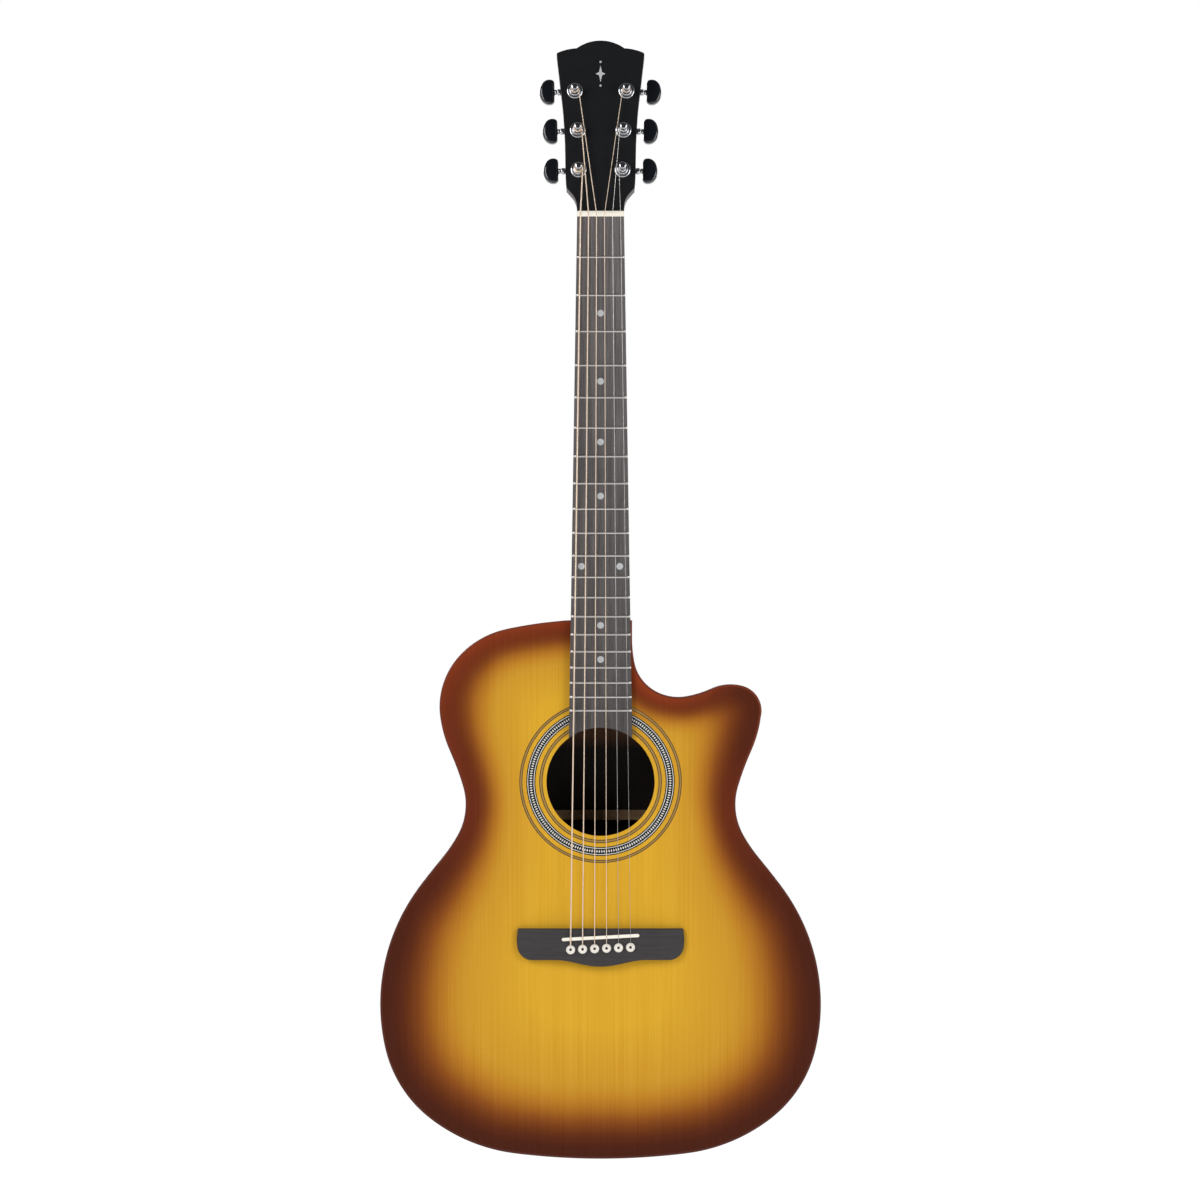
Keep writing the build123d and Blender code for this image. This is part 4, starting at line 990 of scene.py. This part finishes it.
def build_windings():
    """The turns of each string round its post, ending in the post's hole."""
    for index, name in enumerate(STRINGS):
        radius = DIAMETERS[name] / 2
        x, up, _ = post_centre(name)
        meet = head_place(string_line(index)[-1])
        start = math.atan2(meet[1] - up, meet[0] - x)
        turn = 1 if x < 0 else -1
        turns = WIND_TURNS[name]
        reach = POST_RADIUS + radius
        pitch = 2.06 * radius
        steps = int(40 * turns)
        low = WIND_HEIGHTS[name]
        top = low + pitch * turns
        places = [(2 * math.pi * turns * k / steps, low + pitch * turns * k / steps)
                  for k in range(steps + 1)]
        for t in [k / 8 for k in range(1, 9)]:
            places.append((2 * math.pi * turns + 0.9 * t, top + (POST_HOLE - top) * t * t * (3 - 2 * t)))
        path = []
        for swept, out in places:
            angle = start + turn * swept
            path.append(on_head(x + reach * math.cos(angle), up + reach * math.sin(angle), out))
        last = head_place(path[-1])
        path.append(on_head(x + (last[0] - x) * 0.3, up + (last[1] - up) * 0.3, POST_HOLE))
        solids = Solids()
        solids.tube(path, radius, 12)
        solids.piece("string_turns_" + name, "post_" + name, string_kind(name))


build_strings()
build_windings()

# ---------------------------------------------------------------- tuners
WORM_OFFSET = 4.8 * MM
WORM_RIDGES = 9
GEAR_TEETH = 12
GEAR_TOOTH = ((-0.32, 2.35), (-0.16, 2.75), (0.16, 2.75), (0.32, 2.35))  # share of the pitch, radius in mm


def build_posts():
    """Posts with a drilled hole for the string, each with its gear wheel."""
    profile = in_mm([(0, -27.2), (1.9, -27.2), (2.0, -27.0), (2.0, -16.0), (3.2, -15.7), (3.2, 3.0),
                     (3.15, 3.4), (3.0, 3.9), (3.0, 9.4), (3.05, 10.2), (3.3, 11.0), (3.3, 14.9),
                     (3.25, 15.5), (3.0, 16.05), (2.5, 16.4), (1.6, 16.5), (0, 16.5)])
    for name in STRINGS:
        x, up, _ = post_centre(name)
        solids = Solids()
        solids.lathe(on_head(x, up, 0), OUT, SIDE, profile, 64)
        post = solids.piece("post_" + name, "post_" + name, "chrome", replaces=["tuner_post_" + name])
        drill = Solids()
        drill.lathe(on_head(x, up - 6 * MM, POST_HOLE), UP, SIDE, [(0.9 * MM, 0), (0.9 * MM, 12 * MM)], 24)
        cutter = bpy.data.meshes.new("drill")
        cutter.from_pydata([tuple(p) for p in drill.points], [], drill.faces)
        cut_with(post, new_object("drill", cutter))
        outline = []
        for k in range(GEAR_TEETH):
            for offset, radius in GEAR_TOOTH:
                angle = 2 * math.pi * (k + offset) / GEAR_TEETH
                outline.append((x + radius * MM * math.cos(angle), up + radius * MM * math.sin(angle)))
        gear = Solids()
        gear.plate(outline, on_head, -26.0 * MM, -23.0 * MM, 0.12 * MM, 2)
        gear.piece("gear_" + name, "post_" + name, "steel", smooth=False)


def cut_with(obj, tool):
    """Subtract a tool mesh from a piece, and drop the tool."""
    modifier = obj.modifiers.new("cut", "BOOLEAN")
    modifier.operation = "DIFFERENCE"
    modifier.solver = "EXACT"
    modifier.object = tool
    bpy.context.view_layer.update()
    evaluated = obj.evaluated_get(bpy.context.evaluated_depsgraph_get())
    mesh = bpy.data.meshes.new_from_object(evaluated)
    obj.modifiers.clear()
    old = obj.data
    obj.data = mesh
    mesh.name = obj.name
    bpy.data.meshes.remove(old)
    bpy.data.objects.remove(tool)
    mesh.shade_smooth()
    mesh.set_sharp_from_angle(angle=math.radians(35))


def build_bushings():
    """The threaded ring and the washer round each post."""
    bushing = [(3.26, -9.0), (4.9, -9.0), (4.9, 1.0), (5.4, 1.0), (5.4, 1.5), (5.2, 1.9), (4.9, 2.5),
               (4.5, 2.9), (4.1, 3.0), (3.5, 3.0), (3.26, 2.8)]
    washer = [(4.92, 0.02), (7.0, 0.02), (7.25, 0.2), (7.2, 0.5), (6.9, 0.8), (6.4, 0.98), (5.9, 1.0),
              (5.5, 0.9), (4.92, 0.9)]
    for kind, profile in (("bushing", bushing), ("washer", washer)):
        solids = Solids()
        for name in STRINGS:
            x, up, _ = post_centre(name)
            solids.lathe(on_head(x, up, 0), OUT, SIDE, in_mm(profile), 72, hollow=True)
        solids.piece(kind + "_rings", "root", "chrome", replaces=["tuner_" + kind + "s"])


def rounded_box(half_x, half_y, corner, steps=6):
    """Outline of a rectangle with rounded corners."""
    points = []
    for cx, cy, first in ((1, 1, 0), (-1, 1, 90), (-1, -1, 180), (1, -1, 270)):
        for k in range(steps + 1):
            turn = math.radians(first + 90 * k / steps)
            points.append((cx * (half_x - corner) + corner * math.cos(turn),
                           cy * (half_y - corner) + corner * math.sin(turn)))
    return points


def build_housings():
    """Gear cases with a screw lug, a raised cap and the sleeve round the worm's shaft."""
    sleeve = in_mm([(0, 7.0), (3.4, 7.0), (3.4, 9.0), (3.0, 9.6), (2.75, 10.2), (2.75, 12.0), (3.0, 12.6),
                    (3.0, 15.0), (2.8, 15.5), (1.7, 15.6), (0, 15.6)])
    # Place beside the post, half sizes and corner, back and front, rounding and its steps.
    plates = (
        (0.5, 1.3, (7.5, 8.5, 2.8), (-29.0, -16.0), 1.2, 5),
        (-8.6, 0.0, (3.7, 3.5, 3.2), (-17.8, -16.0), 0.4, 3),
        (0.5, 1.3, (5.6, 6.6, 2.2), (-29.5, -28.0), 0.3, 3))
    solids = Solids()
    for name in STRINGS:
        x, up, _ = post_centre(name)
        side = 1 if x > 0 else -1
        for across, along, box, (back, front), rounding, steps in plates:
            outline = [(x + side * across * MM + a, up + along * MM + b)
                       for a, b in rounded_box(*(size * MM for size in box))]
            solids.plate(outline, on_head, back * MM, front * MM, rounding * MM, steps)
        solids.lathe(on_head(x, up + WORM_OFFSET, -24.5 * MM), SIDE * side, UP, sleeve, 40)
    solids.piece("gear_cases", "root", "chrome", replaces=["tuner_housings"])


def button_outline():
    """Half-moon outline: a flat inner side with rounded corners and a round outer side."""
    half, reach, corner, flat = 11.5 * MM, 8.6 * MM, 4.2 * MM, 5.2 * MM
    points = [(flat + reach * math.cos(t), half * math.sin(t))
              for t in np.linspace(-math.pi / 2, math.pi / 2, 41)]
    points += [(corner + corner * math.cos(t), half - corner + corner * math.sin(t))
               for t in np.linspace(math.pi / 2, math.pi, 11)]
    points += [(corner + corner * math.cos(t), -half + corner + corner * math.sin(t))
               for t in np.linspace(math.pi, 3 * math.pi / 2, 11)]
    return points


def build_keys():
    """Buttons, and their shafts with the worm's ridges."""
    for name in STRINGS:
        x, up, out = key_centre(name)
        side = 1 if x > 0 else -1
        start = x - side * 2.0 * MM
        button = Solids()

        def place(a, b, height, start=start, side=side, up=up, out=out):
            return on_head(start + side * a, up + b, out + height)

        button.plate(button_outline(), place, -4.3 * MM, 4.3 * MM, 2.6 * MM, 8)
        button.piece("button_" + name, "key_" + name, "button_black", replaces=["tuner_button_" + name],
                     angle=60)
        shaft = Solids()
        post_x = post_centre(name)[0]
        inner, outer = -5.5 * MM, abs(start - post_x) + 6 * MM
        profile = [(1.5, -4.4)]
        for height in np.linspace(-4.0, 4.0, WORM_RIDGES):
            profile += [(1.4, height - 0.4), (1.75, height - 0.1), (1.75, height + 0.1)]
        profile += [(1.4, 4.5), (1.5, 4.7), (1.5, 16.0), (2.3, 16.1), (2.5, 16.6), (2.5, 17.4), (2.3, 17.9),
                    (1.5, 18.2)]
        profile = [(0, inner), (1.5 * MM, inner)] + in_mm(profile) + [(1.5 * MM, outer), (0, outer)]
        shaft.lathe(on_head(post_x, up, out), SIDE * side, UP, profile, 40)
        shaft.piece("worm_" + name, "key_" + name, "chrome", replaces=["tuner_shaft_" + name])


build_posts()
build_bushings()
build_housings()
build_keys()


# ---------------------------------------------------------------- bridge, saddle and pins
BRIDGE_THICK = 8.5 * MM
BRIDGE_WING = 4.0 * MM
BRIDGE_FLAT = 46 * MM
BRIDGE_FALL = 34.5 * MM
BRIDGE_CORNER = 13.5 * MM


def bridge_height(across):
    """Thickness of the bridge at a distance from its middle: flat, then falling to the wings."""
    share = np.clip((np.abs(across) - BRIDGE_FLAT) / BRIDGE_FALL, 0, 1)
    return BRIDGE_THICK - (BRIDGE_THICK - BRIDGE_WING) * share ** 2 * (3 - 2 * share)


def rounder_bridge(loop):
    """The bridge's outline with its two lower corners on a wider curve."""
    loop = refine(loop, 0.8 * MM)
    half = np.abs(loop[:, 0]).max()
    at_wing = loop[np.abs(np.abs(loop[:, 0]) - 0.6 * half) < 2 * MM]
    low = at_wing[:, 1].min()
    result = []
    for x, z in loop:
        centre = np.array((math.copysign(half - 0.4 * MM - BRIDGE_CORNER, x), low + BRIDGE_CORNER))
        step = np.array((x, z)) - centre
        far = np.linalg.norm(step)
        if abs(x) > abs(centre[0]) and z < centre[1] and far > BRIDGE_CORNER:
            step *= BRIDGE_CORNER / far
        result.append(centre + step)
    return np.array(result)


def build_bridge():
    """The bridge with falling wings and a rounded upper edge."""
    loop = refine(rounder_bridge(face_loops("bridge", 0.0)[0]), 1.2 * MM)
    normals = loop_normals(loop)
    rounding = 1.3 * MM
    insets = [rounding * (1 - math.sin(math.pi / 2 * k / 5)) for k in range(5, -1, -1)]
    loops = [loop - normals * inset for inset in insets]
    low, high = loop.min(0), loop.max(0)
    field = hexagonal(low, high, 2.2 * MM)
    gap = distance_to(field, loop)[0]
    field = field[inside(field, loop) & (gap > rounding + 0.9 * MM)]
    points, faces = triangulate(loops, field)
    centres = np.array([points[list(f)].mean(0) for f in faces])
    faces = [f for f, ok in zip(faces, inside(centres, loop)) if ok]
    height = bridge_height(points[:, 0])
    gap = np.minimum(distance_to(points, loop)[0], rounding)
    drop = rounding - np.sqrt(np.maximum(rounding ** 2 - (rounding - gap) ** 2, 0))
    front = height - drop
    count = len(points)
    verts = [(p[0], -h, p[1]) for p, h in zip(points, front)] + [(p[0], 0.0, p[1]) for p in points]
    result = [tuple(f) for f in faces] + [tuple(count + i for i in f[::-1]) for f in faces]
    edges = {(a, b) for f in faces for a, b in zip(f, f[1:] + f[:1])}
    result += [(b, a, count + a, count + b) for a, b in edges if (b, a) not in edges]
    piece("bridge_wood", verts, result, "root", "rosewood", replaces=["bridge"])


def build_pins():
    """Bridge pins with a round head and a dark dot."""
    pin = in_mm([(0, -7.0), (2.0, -7.0), (2.45, -5.5), (2.5, 8.5), (3.7, 8.55), (4.05, 8.9), (4.15, 9.5),
                 (4.0, 10.2), (3.5, 10.9), (2.7, 11.4), (1.9, 11.64), (1.6, 11.68), (0, 11.68)])
    dot = in_mm([(0, 11.4), (1.25, 11.4), (1.25, 11.68), (1.15, 11.70), (0, 11.70)])
    pins, dots = Solids(), Solids()
    points = cad_points("bridge_pins")
    for index in range(len(STRINGS)):
        x = string_x(index, STRING_GAP_SADDLE)
        near = points[np.abs(points[:, 0] - x) < 5 * MM]
        base = Vector((x, 0, (near[:, 2].min() + near[:, 2].max()) / 2))
        pins.lathe(base, Vector((0, -1, 0)), SIDE, pin, 48)
        dots.lathe(base, Vector((0, -1, 0)), SIDE, dot, 32)
    pins.piece("pin_heads", "root", "pins", replaces=["bridge_pins"])
    dots.piece("pin_dots", "root", "pin_dot", slot="pins")


build_bridge()
build_pins()


# ---------------------------------------------------------------- frets
FRET_HALF = 1.1 * MM
BOARD_FRONT = -6 * MM
TANG = 0.3 * MM  # how far a fret's foot is sunk below the board's face


def build_frets():
    """Round-topped fret wire that follows the camber, with its ends dressed at a slant."""
    points = cad_points("frets")
    zs = np.sort(np.unique(np.round(points[:, 2], 5)))
    groups = np.split(zs, np.where(np.diff(zs) > 5 * MM)[0] + 1)
    solids = Solids()
    for group in groups:
        z = (group.min() + group.max()) / 2
        near = points[np.abs(points[:, 2] - z) < 2 * MM]
        half = near[:, 0].max()
        rings = []
        across = [-half, -half + 0.3 * MM, -half + 1.1 * MM]
        across += list(np.linspace(-half + 3 * MM, half - 3 * MM, 15))
        across += [half - 1.1 * MM, half - 0.3 * MM, half]
        for x in across:
            face = BOARD_FRONT + CAMBER - math.sqrt(CAMBER ** 2 - x ** 2)
            end = min(half - abs(x), FRET_HALF) / FRET_HALF
            tall = (0.25 + 0.85 * end) * MM
            section = [(x, face + TANG, z - FRET_HALF)]
            for turn in [math.pi * k / 12 for k in range(13)]:
                section.append((x, face - tall * math.sin(turn) ** 0.8, z - FRET_HALF * math.cos(turn)))
            section.append((x, face + TANG, z + FRET_HALF))
            rings.append(section)
        solids.stack(rings)
    solids.piece("fret_crowns", "root", "fret_wire", replaces=["frets"])


build_frets()

# ---------------------------------------------------------------- materials of the carried-over pieces
SLOT_OF = {row["node"]: row["material_slot"] for row in frame["record"]["subparts"]}
RENAMED = {"lining_wood": "inner_wood_shaded", "mahogany_raw": "inner_wood_shaded", "spruce_raw": "brace_wood"}
DRESSED = {"side_bass": "side_wood", "side_treble": "side_wood", "back_strip": "mahogany"}


def dress_frame():
    """Give each CAD piece that still shows its procedural material."""
    for name, obj in NODES.items():
        if obj.hide_render:
            continue
        slot_name = SLOT_OF[name]
        material = MATERIALS[DRESSED.get(name) or RENAMED.get(slot_name, slot_name)]
        if obj.data.materials:
            for index in range(len(obj.data.materials)):
                obj.data.materials[index] = material
        else:
            obj.data.materials.append(material)


dress_frame()


# ---------------------------------------------------------------- light and camera
def build_stage():
    """A plain pale floor that glows white, so that no shadow shows on it."""
    mesh = bpy.data.meshes.new("floor")
    size, z = 3.0, cad_low.z - 2 * MM
    corners = [(-size, -size, z), (size, -size, z), (size, size, z), (-size, size, z)]
    mesh.from_pydata(corners, [], [(0, 1, 2, 3)])
    floor = new_object("floor", mesh)
    g = Graph("floor")
    g.shader.inputs["Emission Color"].default_value = (1, 1, 1, 1)
    g.shader.inputs["Emission Strength"].default_value = 1.0
    speck = g.noise((30, 30, 30))
    colour = g.mix(speck, (0.06, 0.06, 0.06, 1), (0.08, 0.08, 0.08, 1))
    mesh.materials.append(g.finish(colour, g.to_range(speck, 0.8, 0.9), specular=0.0))


def build_world():
    """White to the camera; for light, dim in front and above so that dark wood keeps its depth."""
    world = bpy.data.worlds.new("studio")
    bpy.context.scene.world = world
    world.use_nodes = True
    tree = world.node_tree
    tree.nodes.clear()

    def add(kind):
        return tree.nodes.new("ShaderNode" + kind)

    white, soft = add("Background"), add("Background")
    for background in (white, soft):
        background.inputs["Color"].default_value = (1, 1, 1, 1)
    white.inputs["Strength"].default_value = 1.0
    split, dimmed = add("SeparateXYZ"), add("Math")
    tree.links.new(add("TexCoord").outputs["Generated"], split.inputs[0])
    strength = map_range(tree, split.outputs["Y"], (-0.95, 0.25, 0.07, 0.60), smooth=True)
    above = map_range(tree, split.outputs["Z"], (0.1, 0.8, 1.0, 0.3), smooth=True)
    dimmed.operation = "MULTIPLY"
    rays, mixer, out = add("LightPath"), add("MixShader"), add("OutputWorld")
    for source, target in (
            (strength, dimmed.inputs[0]), (above, dimmed.inputs[1]),
            (dimmed.outputs[0], soft.inputs["Strength"]),
            (rays.outputs["Is Camera Ray"], mixer.inputs["Fac"]),
            (soft.outputs[0], mixer.inputs[1]), (white.outputs[0], mixer.inputs[2]),
            (mixer.outputs[0], out.inputs["Surface"])):
        tree.links.new(source, target)


def area_light(name, place, target, size, power):
    light = bpy.data.lights.new(name, "AREA")
    light.shape = "RECTANGLE"
    light.size, light.size_y = size
    light.energy = power
    obj = new_object(name, light)
    obj.location = place
    obj.rotation_euler = (target - Vector(place)).to_track_quat("-Z", "Y").to_euler()


def build_lights():
    middle = (cad_low + cad_high) / 2
    area_light("key", (-1.9, -2.3, 0.9), middle, (1.2, 1.8), 49)
    area_light("fill", (2.2, -2.0, 0.2), middle, (1.2, 1.8), 32.5)
    area_light("back_left", (-1.8, 2.4, 0.8), middle, (1.4, 1.6), 45)
    area_light("back_right", (2.0, 2.2, 0.3), middle, (1.4, 1.6), 35)


CAMERA_DISTANCE = 30.0
VIEW_WIDTH = 1.0818
VIEW_MIDDLE = (-0.0005, -0.3457)


def build_camera():
    camera = bpy.data.cameras.new("camera")
    obj = new_object("camera", camera)
    bpy.context.scene.camera = obj
    camera.sensor_width = 36.0
    camera.lens = camera.sensor_width * CAMERA_DISTANCE / VIEW_WIDTH
    camera.clip_end = 100.0
    obj.location = (VIEW_MIDDLE[0], -CAMERA_DISTANCE, VIEW_MIDDLE[1])
    obj.rotation_euler = (math.pi / 2, 0, 0)


build_stage()
build_world()
build_lights()
build_camera()
bpy.context.scene.view_settings.view_transform = "Standard"
